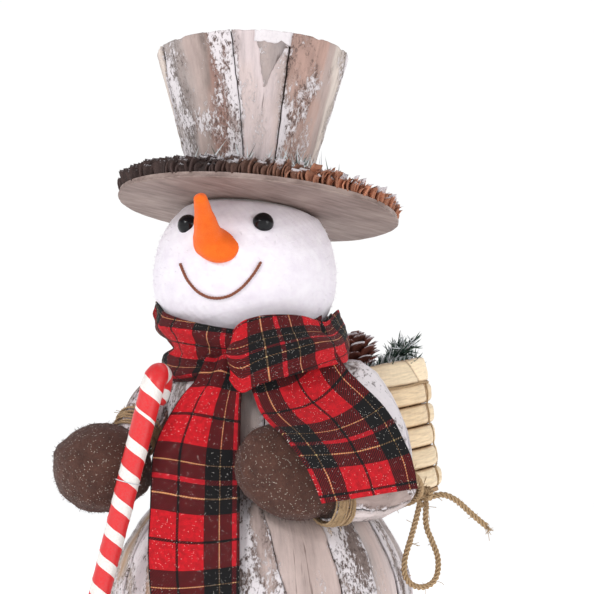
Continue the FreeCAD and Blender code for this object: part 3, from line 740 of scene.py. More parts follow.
def make_jute(jute):
    knot = Soup()
    turns = np.linspace(0, TAU, 60)
    for seed, (grow, roll) in enumerate(((2.3, 0.0), (1.7, 1.2))):
        loops = np.stack([np.sin(turns) + 2 * np.sin(2 * turns), -1.3 * np.sin(3 * turns),
                          np.cos(turns) - 2 * np.cos(2 * turns)], 1) * grow
        swing = np.array(Matrix.Rotation(roll, 3, "X"))
        rope(knot, loops @ swing.T + KNOT, JUTE * 0.85, lay=8, seed=seed)
    fibres(knot, KNOT + (0, -4, 3), (-0.3, -0.6, 1.0), 0.5, 16, 9, 5)
    fibres(knot, KNOT + (0, -4, -4), (0.2, -0.5, -1.0), 0.6, 14, 9, 6)
    knot_piece = knot.piece("jute_knot_twist", jute, slot="jute", nodes=["jute_knot"])

    for name, route, length, far_end, company, seed in (
            ("jute_loop_twist", LOOP, 0.134, "object", [knot_piece], 2),
            ("jute_tail_twist", TAIL, 0.0495, "bare", [], 3)):
        line = nurbs_line(name, route)
        soup = Soup()
        rope(soup, line / MM, JUTE, lay=9.5, step=0.8, seed=seed)
        piece = soup.piece(name, jute, PLAIN, slot="jute", nodes=[name.replace("_twist", "")])
        loose = Soup()
        if far_end == "bare":
            fibres(loose, route[-1], (0.6, 0.0, -0.8), 0.35, 22, 6, seed)
        for place in route[1:-1]:
            fibres(loose, place, (0.3, -0.4, 0.2), 0.8, 3, 5, seed + int(place[0]))
        company.append(loose.piece(name.replace("_twist", "_fray"), jute, slot="jute"))

    ring = np.linspace(0, TAU, 90)
    normal = Vector((0.21, 0.67, 0.71)).normalized()
    across = normal.orthogonal().normalized()
    across, other = np.array(across), np.array(normal.cross(across))
    elbow = Soup()
    rope(elbow, ELBOW + 20.3 * circle_of(ring, across, other), JUTE, lay=9.5, seed=8)
    for seed, turn in enumerate((0.4, 1.7, 3.0, 4.4, 5.6)):
        spot = ELBOW + 21 * (math.cos(turn) * across + math.sin(turn) * other)
        fibres(elbow, spot, spot - ELBOW, 12, 5, 6, seed + 30)
    elbow.piece("elbow_twine", jute, slot="jute", nodes=["elbow_cord"])


# ---- bark ----

TAUPE, PINK, GREY = srgb(178, 158, 152), srgb(202, 182, 176), srgb(170, 161, 158)
DARK, RUST, CREAM, PALE = srgb(136, 120, 114), srgb(166, 128, 116), srgb(222, 208, 198), srgb(218, 204, 202)


def ball_skin(middle, radius, high, low):
    """Maps angle round, share of the way down and height off the ball to a point."""
    start = math.acos((high - middle) / radius)
    end = math.acos((low - middle) / radius)

    def at(around, down, lift):
        polar = start + (end - start) * down
        reach = radius + lift
        return round_axis(reach * np.sin(polar), around, middle + reach * np.cos(polar))

    return at, radius, radius * (end - start)


def crown_skin():
    slope = (CROWN_TOP - CROWN_LOW) / (CROWN_HEIGHT + CROWN_SUNK)
    low = -1.0

    def at(around, down, lift):
        rise = CROWN_HEIGHT + 0.6 + (low - CROWN_HEIGHT) * down
        reach = CROWN_LOW - 2.4 + slope * (rise + CROWN_SUNK) + lift
        return round_axis(reach, around, rise)

    return at, 55.0, CROWN_HEIGHT - low


def arm_skin(points, radius):
    """A sleeve round an arm; down runs along the arm from shoulder to wrist."""
    line, spots = even_line(smooth_line(points, 60), 2.0)
    first, second = frames_along(line)
    share = spots / spots[-1]

    def at(around, down, lift):
        around, down, lift = np.broadcast_arrays(around, down, lift)
        spot, side, other = (np.stack([np.interp(down, share, grid[:, k]) for k in range(3)], -1)
                             for grid in (line, first, second))
        return spot + (radius + lift)[..., None] * circle_of(around, side, other)

    return at, radius, spots[-1]


def bark_strip(soup, skin, left, right, tones, lift, seed, ends=(0.0, 1.0), thick=1.5, curl=1.0, jag=0.012,
               rows=64, relief=0.5, patchy=0.3, flare=None):
    """One strip of bark between two edges, each a function of the share of the way down.

    tones are (share across, colour, whitewash) stops from its left edge to its right.
    """
    at, radius, length = skin
    span = float(np.mean(right(np.linspace(0, 1, 9)) - left(np.linspace(0, 1, 9)))) * radius
    cols = max(9, int(span / 1.8))
    down = steps_down(rows)
    across = steps_across(cols)
    torn_top = jag * waves(across * 30, 0 * across, seed + 11, 9.0)
    torn_foot = jag * waves(across * 30, 0 * across, seed + 12, 9.0)
    down = (ends[0] + torn_top) * (1 - down) + (ends[1] + torn_foot) * down
    down = clamp(down)
    around = left(down) * (1 - across) + right(down) * across
    bumps = relief * waves(around * radius, down * length * 0.3, seed, 9.0)
    near_edge = np.exp(-np.minimum(across, 1 - across) * span / 1.6)
    rise = lift + bumps + curl * near_edge * (0.7 + 0.9 * waves(down * length, across, seed + 5, 45.0))
    if flare:
        rise = rise + np.interp(down, *flare)
    outer = at(around, down, thick + rise)
    inner = at(around, down, np.maximum(np.maximum(rise, 0.1) * 0.6, rise - 1.5))
    marks = stacked(around * radius * MM, down * length * MM, seed * 0.37)
    spot = across + 0.10 * waves(around * radius, down * length * 0.5, seed + 21, 40.0)
    stops = [stop for stop, _, _ in tones]
    values = np.array([(*colour, wash) for _, colour, wash in tones])
    tints = np.stack([np.interp(spot, stops, values[:, k]) for k in range(4)], -1)
    patches = waves(around * radius, down * length * 0.45, seed + 22, 30.0)
    tints[..., 3] += patchy * patches + 0.25 * near_edge
    tints[..., :3] *= (1 + 0.10 * waves(around * radius, down * length * 0.2, seed + 23, 22.0))[..., None]
    soup.shell(outer, inner, marks, tints)


def bark_edge(base, twist, seed, sway=0.02):
    """An edge line: degrees round at mid-height, degrees of twist, and a wandering wobble."""

    def edge(down):
        wander = sway * waves(down * 60, 0 * down, seed, 55.0)
        nick = 0.3 * sway * waves(down * 60, 0 * down, seed + 3, 7.0)
        return math.radians(base) + math.radians(twist) * (down - 0.5) + wander + nick

    return edge


def bark_group(name, skin, strips, material, frame_matrix, nodes, seed=0, sway=0.02, extras=None, **shape):
    """Strips side by side round a skin: (degrees, twist, gap before it, lift, tones) each."""
    soup = Soup()
    radius = skin[1]
    lines = []
    for index, (base, twist, *_) in enumerate(strips):
        lines.append(bark_edge(base, twist, seed + 7 * index, sway))
    first = lines[0]
    lines.append(lambda down: first(down) + TAU)
    gaps = [strip[2] for strip in strips + strips[:1]]
    source = np.random.default_rng(seed + 1)
    for index, (_, _, _, lift, tones) in enumerate(strips):
        before, after = gaps[index] / 2 / radius, gaps[index + 1] / 2 / radius
        bark_strip(soup, skin, lambda down, line=lines[index]: line(down) + before,
                   lambda down, line=lines[index + 1]: line(down) - after, tones, lift, seed + 13 * index,
                   curl=source.uniform(0.2, 1.3), **shape)
    if extras:
        extras(soup)
    return soup.piece(name, material, frame_matrix, slot="bark", nodes=nodes)


def random_strips(first, last, count, source, twist=0.0):
    """Strips that fill the degrees from first to last, smooth and flaking ones in turn."""
    shifts = source.uniform(-0.18, 0.18, count) * (last - first) / count
    spots = np.linspace(first, last, count + 1)[:-1] + shifts
    spots[0] = first
    smooth, flaky = [TAUPE, PINK, GREY, CREAM, PALE], [DARK, RUST, GREY]
    strips = []
    for index, spot in enumerate(spots):
        palette = flaky if (index + source.integers(2)) % 2 else smooth
        wash = source.uniform(0.5, 0.8) if palette is flaky else source.uniform(0.0, 0.25)
        colours = [palette[source.integers(len(palette))] for _ in range(2)]
        tones = [(0.0, colours[0], wash), (0.5, colours[0], wash), (0.8, colours[1], wash + 0.1)]
        strips.append((spot, twist + source.uniform(-5, 5), source.uniform(0.4, 1.8),
                       source.uniform(0.0, 1.1), tones))
    return strips


def make_bark(bark):
    source = np.random.default_rng(21)
    make_crown_bark(bark, source)
    # The lower ball, from under the front tail round to the figure's left.
    honey = srgb(186, 148, 112)
    strips = [
        (-172, 6, 1.6, 0.9, [(0, CREAM, 0.8), (0.35, CREAM, 0.4), (0.6, honey, 0.2), (1, CREAM, 0.7)]),
        (-152, 2, 1.8, 0.2, [(0, CREAM, 0.6), (0.5, CREAM, 0.9), (0.7, honey, 0.25), (1, CREAM, 0.8)]),
        (-130, 5, 2.2, 1.3, [(0, CREAM, 1.0), (0.5, CREAM, 0.6), (1, GREY, 0.5)]),
        (-112, 8, 1.0, 0.9, [(0, DARK, 0.66), (0.7, DARK, 0.62), (0.85, TAUPE, 0.35), (1, TAUPE, 0.5)]),
        (-78, 26, 0.7, 0.0, [(0, PINK, 0.1), (0.5, TAUPE, 0.0), (1, PINK, 0.08)]),
        (-57, 13, 1.0, 0.8, [(0, GREY, 0.55), (0.3, DARK, 0.6), (1, DARK, 0.55)]),
        (-42, 2, 0.6, 0.1, [(0, GREY, 0.1), (0.5, PINK, 0.05), (1, PALE, 0.2)]),
        (-27, 3, 2.6, 1.3, [(0, PALE, 0.9), (0.4, DARK, 0.45), (1, GREY, 0.8)]),
        (-15, 7, 1.4, 0.2, [(0, GREY, 0.5), (1, PALE, 0.3)]),
    ]
    strips += random_strips(-2, 186, 10, source, 9.0)
    bark_group("lower_bark_strips", ball_skin(LOWER_MIDDLE, LOWER_CORE, WAIST, 6.5), strips, bark, DRESSED,
               ["lower_body_bark"], seed=300, sway=0.018, rows=96)

    # The upper ball: smooth taupe in front, whitewashed beside the arms.
    strips = [
        (-135, 0, 1.0, 0.2, [(0, GREY, 0.3)]),
        (-112, 2, 0.8, 0.6, [(0, TAUPE, 0.15), (1, GREY, 0.25)]),
        (-88, 2, 0.8, 0.1, [(0, PALE, 0.3), (1, TAUPE, 0.1)]),
        (-66, 2, 0.8, 0.5, [(0, TAUPE, 0.1), (1, PINK, 0.15)]),
        (-42, 0, 1.0, 0.7, [(0, DARK, 0.75), (1, GREY, 0.9)]),
        (-20, 0, 1.2, 0.2, [(0, GREY, 0.75)]),
    ]
    strips += random_strips(2, 223, 10, source)
    bark_group("upper_bark_strips", ball_skin(UPPER_MIDDLE, UPPER_CORE, NECK - 1, WAIST + 1), strips,
               bark, DRESSED, ["upper_body_bark"], seed=500)

    arms = [  # name, points along it, radius, whitewash, seed
        ("left_upper_arm", [(44, -6, 261), (68, -20, 238), (84, -34, 215), (91, -45, 190)], 15.2, 0.85, 700),
        ("left_forearm", [(93, -44, 188), (72, -68, 181), (44, -89.5, 182)], 13.2, 0.4, 720),
        ("right_arm", [(-45, 0, 268), (-74, -12, 251), (-84, -32, 233), (-92, -46, 218)], 13.2, 0.6, 740),
    ]
    for name, points, radius, wash, seed in arms:
        strips = []
        for spot in np.linspace(0, 360, 8)[:-1]:
            colour = (GREY, PALE, TAUPE, RUST)[source.integers(4)]
            twist, lift = source.uniform(-25, 25), source.uniform(0, 0.8)
            strips.append((spot, twist, 1.0, lift, [(0, colour, wash + source.uniform(-0.25, 0.2))]))
        flare = extras = None
        if name == "left_upper_arm":
            # Its sleeve of bark widens towards the shoulder, and flakes close its elbow.
            flare = [0, 0.12, 0.25, 0.4, 0.6, 0.75, 0.9], [4, 12, 14, 11, 7, 3, 0]
            extras = cap_elbow
        bark_group(name + "_strips", arm_skin(points, radius), strips, bark, DRESSED, [name + "_bark"],
                   seed=seed, sway=0.1, extras=extras, rows=40, thick=1.1, jag=0.05, relief=0.4,
                   flare=flare)


def make_crown_bark(bark, source):
    """Three wide bark pieces in front, a slate wedge under a snowy patch, and random ones behind."""
    salmon, haze = srgb(190, 156, 144), srgb(216, 200, 200)
    strips = [
        (-170.6, -27, 2.8, 0.5, [(0, GREY, 0.5), (0.28, GREY, 0.62), (0.5, TAUPE, 0.1), (0.66, DARK, 0.15),
                                 (0.74, RUST, 0.42), (0.85, RUST, 0.75), (1, PALE, 0.72)]),
        (-97.5, 9, 0.7, 0.1, [(0, haze, 0.45), (0.2, haze, 0.15), (0.7, haze, 0.1), (1, PINK, 0.2)]),
        (-66, 0, 1.2, 0.7, [(0, salmon, 0.42), (0.3, salmon, 0.48), (0.5, salmon, 0.1), (0.56, TAUPE, 0.08),
                            (0.68, TAUPE, 0.08), (0.74, CREAM, 0.2), (1, CREAM, 0.45)]),
        (0, 25, 2.4, 0.6, [(0, PALE, 0.6), (1, GREY, 0.4)]),
    ]
    strips += random_strips(18, 175, 8, source)
    skin = crown_skin()

    def wedge_left(down):
        return math.radians(-87.5) + math.radians(20) * down + 0.012 * waves(down * 60, 0 * down, 190, 12.0)

    def wedge_right(down):
        return wedge_left(down) + math.radians(22.5) * np.clip(1 - down / 0.35, 0.02, 1)

    def patches(soup):
        slate = [(0, srgb(152, 141, 140), 0.0)]
        bark_strip(soup, skin, wedge_left, wedge_right, slate, 0.5, 191, (0.03, 0.335), thick=1.2,
                   curl=0.1, jag=0.004, relief=0.1, patchy=0.0)
        snow = [(0, srgb(244, 240, 242), 1.2)]
        bark_strip(soup, skin, bark_edge(-88, 0, 192), bark_edge(-65, 0, 193), snow, 0.9, 194, (0.0, 0.07),
                   thick=1.3, curl=0.4, jag=0.02, rows=12)

    bark_group("crown_bark_strips", skin, strips, bark, CROWN_FRAME, ["crown_bark"], seed=100, sway=0.012,
               extras=patches, thick=1.2, relief=0.35, rows=90)


def cap_elbow(soup):
    """Flakes of bark that close the elbow."""
    radius, seed = 15.4, 705
    source = np.random.default_rng(seed)
    at, _, _ = ball_skin(0.0, radius, radius * 0.99, -radius * 0.99)
    skin = (lambda around, down, lift: at(around, down, lift) + ELBOW, radius, radius * math.pi)
    for index in range(6):
        base = index * 60
        tones = [(0, (GREY, PALE, TAUPE)[index % 3], source.uniform(0.3, 0.9))]
        left = bark_edge(base, 20, seed + index, 0.08)
        right = bark_edge(base + 57, 20, seed + index + 1, 0.08)
        bark_strip(soup, skin, left, right, tones, 0.2, seed + 9 * index, (0.03, 0.97), thick=1.0,
                   curl=0.5, rows=24)


# ---- hat ----


def make_brim(veneer):
    radii = np.concatenate([[2.0], np.linspace(12, 98, 22), [BRIM_RADIUS - 1.1, BRIM_RADIUS]])[:, None]
    around = full_circle(180)[None]
    edge = 0.7 * waves(around * 100, 0 * around, 41, 60.0) + 0.3 * waves(around * 100, 0 * around, 42, 9.0)
    reach = radii * (1 + edge / BRIM_RADIUS * (radii / BRIM_RADIUS) ** 6)
    droop = 0.5 * waves(around * 100, radii, 43, 150.0) * (radii / BRIM_RADIUS) ** 2
    low = round_axis(reach, around, -2 + droop)
    high = round_axis(reach, around, -0.95 + droop)
    soup = Soup()
    soup.shell(high, low, low * MM, around=True)
    soup.piece("brim_veneer_sheet", veneer, BRIM_FRAME, slot="veneer", nodes=["brim_veneer"])


def scale(soup, foot, out, side, height, width, lean, tint, frost):
    """A woody cone scale: a cupped tongue that bends over at its tip."""
    up_steps, cross_steps, thick = 5, 4, 1.2
    t = steps_down(up_steps)
    s = np.linspace(-1, 1, cross_steps)[None]
    breadth = width / 2 * (0.55 + 0.55 * np.sin(t * 2.4))
    along = np.sin(lean * t) / max(lean, 0.01)
    over = (1 - np.cos(lean * t)) / max(lean, 0.01)
    cup = 0.22 * breadth * (1 - s ** 2)
    out, side = np.asarray(out, float), np.asarray(side, float)
    rise = np.cross(side, out)
    rise = unit(rise) * (1 if rise[2] >= 0 else -1)
    middle = (np.asarray(foot, float) + (height * along)[..., None] * rise
              + (height * over - cup)[..., None] * out + (breadth * s)[..., None] * side)
    back = middle - thick * out - 0.3 * thick * rise
    share = np.broadcast_to(t, (up_steps, cross_steps))[..., None]
    tints = np.concatenate([np.broadcast_to(np.asarray(tint, float), (up_steps, cross_steps, 3)),
                            frost * share ** 4], -1)
    marks = stacked(s * width * MM, t * height * MM, float(foot[0]) * 0.13)
    soup.shell(middle, back, marks, tints)


def make_garland(cone_wood):
    """Six lengths of cone-scale garland round the rim."""
    source = np.random.default_rng(55)
    black, brown, red = np.array([srgb(62, 44, 40), srgb(116, 80, 64), srgb(176, 116, 88)])
    rings = (98.2, 11.0, 30), (93.6, 14.0, 28), (89.0, 14.5, 22)  # reach, height and number of the scales
    for index in range(6):
        soup = Soup()
        for ring, (reach, tallest, count) in enumerate(rings):
            for step in range(count):
                degrees = index * 60 + 60 * (step + 0.5 * (ring % 2)) / count
                turn = math.radians(degrees) + source.normal(0, 0.006)
                # The strips are numbered round the brim's own X axis; front is at -90 degrees.
                to_right = math.cos(turn)
                mix = clamp(to_right * 1.25 + 0.35) if math.sin(turn) < 0.4 else 0.5
                tint = black + (brown - black) * min(1, 2.0 * mix) + (red - brown) * max(0, 2 * mix - 1)
                tint = tint * source.uniform(0.65, 1.3)
                out = way_out(turn)
                skew = source.normal(0.95, 0.36)
                face = out * math.cos(skew) + way_round(turn) * math.sin(skew)
                face[2] += source.uniform(-0.1, 0.45)
                side = unit(np.cross((0, 0, 1), face))
                foot = out * (reach + source.normal(0, 1.1)) + (0, 0, BRIM_TOP - 0.4)
                tall, wide = tallest * source.uniform(0.62, 1.15), source.uniform(5.5, 8.5)
                lean, frost = source.uniform(0.4, 1.5), source.uniform(0.0, 1.1) * (0.7 + 0.3 * to_right)
                scale(soup, foot, unit(face), side, tall, wide, lean, tint, frost)
        soup.piece(f"garland_scales_{index + 1}", cone_wood, BRIM_FRAME, slot="pine_cone_scales",
                   nodes=[f"cone_scale_strip_{index + 1}"])


GREENS = [srgb(52, 78, 66), srgb(38, 62, 52), srgb(86, 104, 90)]


def needles(soup, foot, way, spread, count, length, source, frost, width):
    """A tuft of needles from one place."""
    way = np.asarray(way, float)
    for _ in range(count):
        aim = unit(unit(way) + source.normal(0, spread, 3))
        start = np.asarray(foot, float) + source.normal(0, 0.8, 3)
        tint = GREENS[source.integers(3)]
        alpha = float(source.random() < frost)
        needle(soup, start, start + aim * length * source.uniform(0.6, 1.15), width, (*tint, alpha))


def make_hat_greens(green):
    source = np.random.default_rng(77)
    soup = Soup()
    for _ in range(190):
        turn = source.uniform(0, TAU)
        out = way_out(turn)
        reach = source.uniform(40, 66)
        foot = np.array([-6, 0, BRIM_TOP + 0.3]) + out * reach
        way = way_round(turn) * source.normal(0, 0.7) + (0, 0, 0.9) - out * 0.25
        tall = source.uniform(26, 38) if out[1] < -0.2 else source.uniform(15, 29)
        needles(soup, foot, way, 0.25, 5, tall, source, 0.75, 1.0)
    soup.piece("hat_green_needles", green, BRIM_FRAME, slot="greenery", nodes=["hat_greenery"])


# ---- head ----


def face_point(side_deg, up_deg, reach):
    """A point out of the head: degrees to its left and up from straight ahead, in the figure's frame."""
    side, up = math.radians(side_deg), math.radians(up_deg)
    way = np.array([math.sin(side) * math.cos(up), -math.cos(side) * math.cos(up), math.sin(up)])
    return HEAD_SPOT + way * reach


def make_head(fleece, nose_felt, cord):
    around = full_circle(240)
    plane = BRIM_FRAME @ Vector((0, 0, -2.2))
    normal = np.array(BRIM_FRAME.col[2][:3])
    middle = HEAD_SPOT
    polar = np.linspace(math.radians(20), math.radians(90), 400)[:, None]
    ways = round_axis(np.sin(polar), around, np.cos(polar))
    above = (middle + ways * HEAD_RADIUS - np.array(plane)) @ normal > 0
    start = polar[np.clip(above.sum(0), 0, 399), 0]
    end = math.acos((NECK - HEAD[2]) / HEAD_RADIUS)
    share = steps_down(130)
    angle = start * (1 - share) + end * share
    nap = 0.25 * waves(around * 66, angle * 66, 61, 5.0) + 0.8 * waves(around * 66, angle * 66, 62, 70.0)
    seam = 1 - np.exp(-(share / 0.025) ** 2)
    way = round_axis(np.sin(angle), around, np.cos(angle))
    reach = HEAD_RADIUS - 1.4 * (1 - seam) + nap * seam
    outer = middle + way * reach[..., None]
    inner = middle + way * (HEAD_RADIUS - 2.8)
    soup = Soup()
    soup.shell(outer, inner, outer * MM, around=True)
    source = np.random.default_rng(63)
    for _ in range(2600):
        turn, tilt = source.uniform(0, TAU), math.acos(source.uniform(-0.72, 0.62))
        out = np.array([math.sin(tilt) * math.cos(turn), math.sin(tilt) * math.sin(turn), math.cos(tilt)])
        foot = middle + out * (HEAD_RADIUS - 0.4)
        needle(soup, foot, foot + (out + source.normal(0, 0.5, 3)) * source.uniform(0.8, 1.9), 0.22, WHITE)
    head = soup.piece("head_fleece", fleece, PLAIN, slot="white_fleece", nodes=["head_cover"])

    foot = face_point(-7.5, 16.5, HEAD_RADIUS - 4)
    way = face_point(7.5, 37.0, 1.0) - middle
    side = unit(np.cross(way, (0, 0, 1.0)))
    upward = np.cross(side, way)
    rows, sides = 56, 52
    t = steps_down(rows)
    turn = full_circle(sides)[None]
    reach = np.interp(t, [0, 0.05, 0.12, 0.22, 0.34, 0.5, 0.75, 0.95, 1.0],
                      [8, 11.0, 11.4, 10.6, 9.2, 7.7, 5.7, 4.5, 0.3])
    # The felt bulges to the figure's left and down where it is gathered on to the face.
    bulge = 11.5 * np.exp(-((t - 0.05) / 0.15) ** 4) * clamp(0.3 + 0.7 * np.cos(turn - 1.1 * math.pi)) ** 2
    lump = 0.35 * waves(turn * 8, t * 48, 71, 16.0) * clamp(t * 8) * clamp((1 - t) * 8)
    reach = reach + bulge + lump
    spine = foot + way * (t * 54 - 3)[..., None]
    rings = spine + reach[..., None] * circle_of(turn, side, upward)
    nose = Soup()
    nose.add(rings, ring_faces(rows, sides))
    nose_piece = nose.piece("nose_felt", nose_felt, PLAIN, slot="orange_felt", nodes=["nose"])

    ends_and_low = (-27.5, 4.5), (27.5, 4.5), (-1.0, -17.0)
    start, end, low = (face_point(aside, up, HEAD_RADIUS + 0.6) for aside, up in ends_and_low)
    line = []
    for spot in np.linspace(-1, 1, 40):
        guess = (start + end) / 2 + (end - start) / 2 * spot * (1 - 0.06 * spot ** 2)
        guess = guess + (low - (start + end) / 2) * (1 - abs(spot) ** 2.15)
        line.append(middle + unit(guess - middle) * (HEAD_RADIUS + 0.7 + 0.15 * math.sin(spot * 23)))
    mouth = Soup()
    rope(mouth, line, 2.1, lay=6.5, step=0.5, sides=6)
    mouth.piece("mouth_twist", cord, PLAIN, slot="brown_cord", nodes=["mouth"])


# ---- mittens and cuffs ----


def felt_ball(soup, middle, axes, seed, lump=0.9, square=1.0):
    """A lumpy egg of felt with a nap of short hairs; axes are its three half-lengths as vectors."""
    polar = np.linspace(0.02, math.pi - 0.02, 70)[:, None]
    around = full_circle(90)[None]
    way = round_axis(np.sin(polar), around, np.cos(polar))
    way = np.sign(way) * np.abs(way) ** square
    grow = 1 + lump / 30 * waves(around * 30, polar * 30, seed, 34.0)
    grow = grow + 0.012 * waves(around * 30, polar * 30, seed + 1, 6.0)
    points = np.asarray(middle) + (way * grow[..., None]) @ np.asarray(axes)
    soup.add(points, ring_faces(70, 90), points * MM)
    source = np.random.default_rng(seed)
    picks = source.integers(3, 67, 1500), source.integers(0, 90, 1500)
    for row, col in zip(*picks):
        foot = points[row, col]
        out = unit(foot - np.asarray(middle)) + source.normal(0, 0.55, 3)
        needle(soup, foot - 0.2 * out, foot + out * source.uniform(0.6, 1.5), 0.3, WHITE)


def make_hands(brown, jute):
    long_way = np.array([-34, 0, 20.0]) / math.hypot(34, 20)
    flat_way = np.array([0, 1.0, 0])
    cross_way = np.cross(flat_way, long_way)
    left = Soup()
    felt_ball(left, (19, -91, 200), [30 * cross_way, 19 * flat_way, 36 * long_way], 81, 1.0, 0.93)
    felt_ball(left, (43, -87.5, 184.5), [[13.5, 0, 0], [0, 13.5, 0], [0, 0, 13.5]], 82)
    left_piece = left.piece("left_mitten_felt", brown, slot="brown_felt", nodes=["left_mitten"])
    right = Soup()
    felt_ball(right, (-109, -53, 202), [[34, 0, 0], [0, 30, 0], [0, 0, 30]], 91, 1.2, 0.95)
    right_piece = right.piece("right_mitten_felt", brown, slot="brown_felt", nodes=["right_mitten"])

    for name, node, middle, way, radius, seed in (
            ("left_cuff_winding", "left_cuff", (49, -86.5, 181), (-28, -21.5, 1), 16.2, 95),
            ("right_cuff_winding", "right_cuff", (-87.5, -38.5, 226), (-8, -14, -15), 16.2, 96)):
        way = Vector(way).normalized()
        side = np.array(way.orthogonal().normalized())
        middle, way = np.array(middle), np.array(way)
        other = np.cross(way, side)
        source = np.random.default_rng(seed)
        soup = Soup()
        for turn in range(15):
            angle = np.linspace(0, TAU, 48) + source.uniform(0, 6)
            offset = -7.8 + 15.6 * turn / 14 + 0.7 * np.sin(angle * 2 + source.uniform(0, 6))
            offset = offset + source.normal(0, 0.3)
            reach = radius + 0.6 * np.sin(angle * 3 + source.uniform(0, 6)) + source.uniform(-0.4, 0.7)
            line = middle + offset[:, None] * way + reach[:, None] * circle_of(angle, side, other)
            rope(soup, line, 1.7, strands=2, lay=5, step=1.6, seed=turn, sides=5)
            spot = line[source.integers(48)]
            fibres(soup, spot, spot - middle + way * 9, 9, 3, 5, seed + turn)
        soup.piece(name, jute, slot="jute", nodes=[node])


# ---- scarf ----


def grid_normals(grid):
    normal = np.cross(np.gradient(grid, axis=1), np.gradient(grid, axis=0))
    return normal / np.linalg.norm(normal, axis=2)[..., None]


def cloth(soup, grid, outward, across_mm, along_mm):
    """A sheet through a grid of points; across_mm and along_mm are its thread coordinates."""
    normal = grid_normals(grid)
    if (normal[len(normal) // 2, normal.shape[1] // 2] @ np.asarray(outward, float)) < 0:
        normal = -normal
    marks = stacked(across_mm * MM, along_mm * MM, 0.0)
    soup.shell(grid + normal * CLOTH / 2, grid - normal * CLOTH / 2, marks)


def drape(lines, rows, cols, fold):
    """A grid through crosswise lines, pushed out of its own plane by fold(across, along)."""
    ends = np.array(lines, float)
    left = smooth_line(ends[:, 0], rows)
    right = smooth_line(ends[:, 1], rows)
    s = steps_across(cols)
    grid = left[:, None] * (1 - s[..., None]) + right[:, None] * s[..., None]
    t = steps_down(rows)
    run = lengths_along((left + right) / 2)
    return grid + grid_normals(grid) * fold(s, t)[..., None], run[:, None], s


def make_scarf(tartan):
    # The tail down the front: narrow where it leaves the knot, a soft fold along its middle.
    front_lines = [
        ((-36, -66, 279), (-9, -69, 279)), ((-44, -73, 262), (-12, -77, 262)),
        ((-57, -75, 245), (-13, -80, 245)), ((-71.5, -76.5, 215), (-13.5, -82, 215)),
        ((-73.5, -83, 180), (-13.5, -89, 180)), ((-73.5, -96, 140), (-13, -107, 140)),
        ((-69, -102, 98), (-13, -113, 98)), ((-66, -99.5, 66), (-13, -110, 66)),
    ]

    def front_fold(s, t):
        gather = np.exp(-t / 0.16)
        return (-2.4 * gather * np.cos(s * 13) - 1.6 * np.sin(s * 5.2 + 0.6) * hump(t, 0.45, 0.4)
                - 0.9 * waves(s * 66, t * 210, 15, 60.0) * clamp(t * 6) - 1.2 * np.cos(s * 6.28) * t)

    grid, run, s = drape(front_lines, 150, 56, front_fold)
    front = Soup()
    slant = 3.0 * np.sin(s * 3.0 + run / 40)
    cloth(front, grid, (0, -1, 0), s * 66 - 1.0 + 0.0 * run, run - 27.5 + slant)
    front_piece = front.piece("scarf_front_cloth", tartan, slot="tartan", nodes=["scarf_front_tail"])

    # The tail over the left arm.
    side_lines = [
        ((-10, -76, 271), (42, -44, 308)), ((-8, -79, 264), (44, -47, 300)),
        ((1.5, -101, 240), (58.6, -53, 270)), ((17, -122, 224), (86, -67, 242)),
        ((32, -124, 203), (101, -77, 212)), ((41.5, -121, 180.5), (106, -85, 189)),
    ]

    def side_fold(s, t):
        crown = 5.0 * np.sin(np.pi * s) * np.sin(np.pi * clamp(t * 1.1))
        pleat = 1.8 * np.cos(s * 12 - 2.5 * t) * hump(t, 0.1, 0.22)
        return crown + pleat + 1.0 * waves(s * 80, t * 125, 25, 70.0)

    grid, run, s = drape(side_lines, 120, 64, side_fold)
    side = Soup()
    to_end = run[-1, 0] - run
    bow = 7.0 * np.sin(np.pi * s) * clamp(to_end / 60)
    cloth(side, grid, (0.6, -0.7, 0.3), s * 80 - 23 + 0 * run, 24.1 - to_end - bow)
    side_piece = side.piece("scarf_side_cloth", tartan, slot="tartan", nodes=["scarf_side_tail"])

    wrap_piece = make_wrap().piece("scarf_wrap_cloth", tartan, slot="tartan", nodes=["scarf_wrap"])


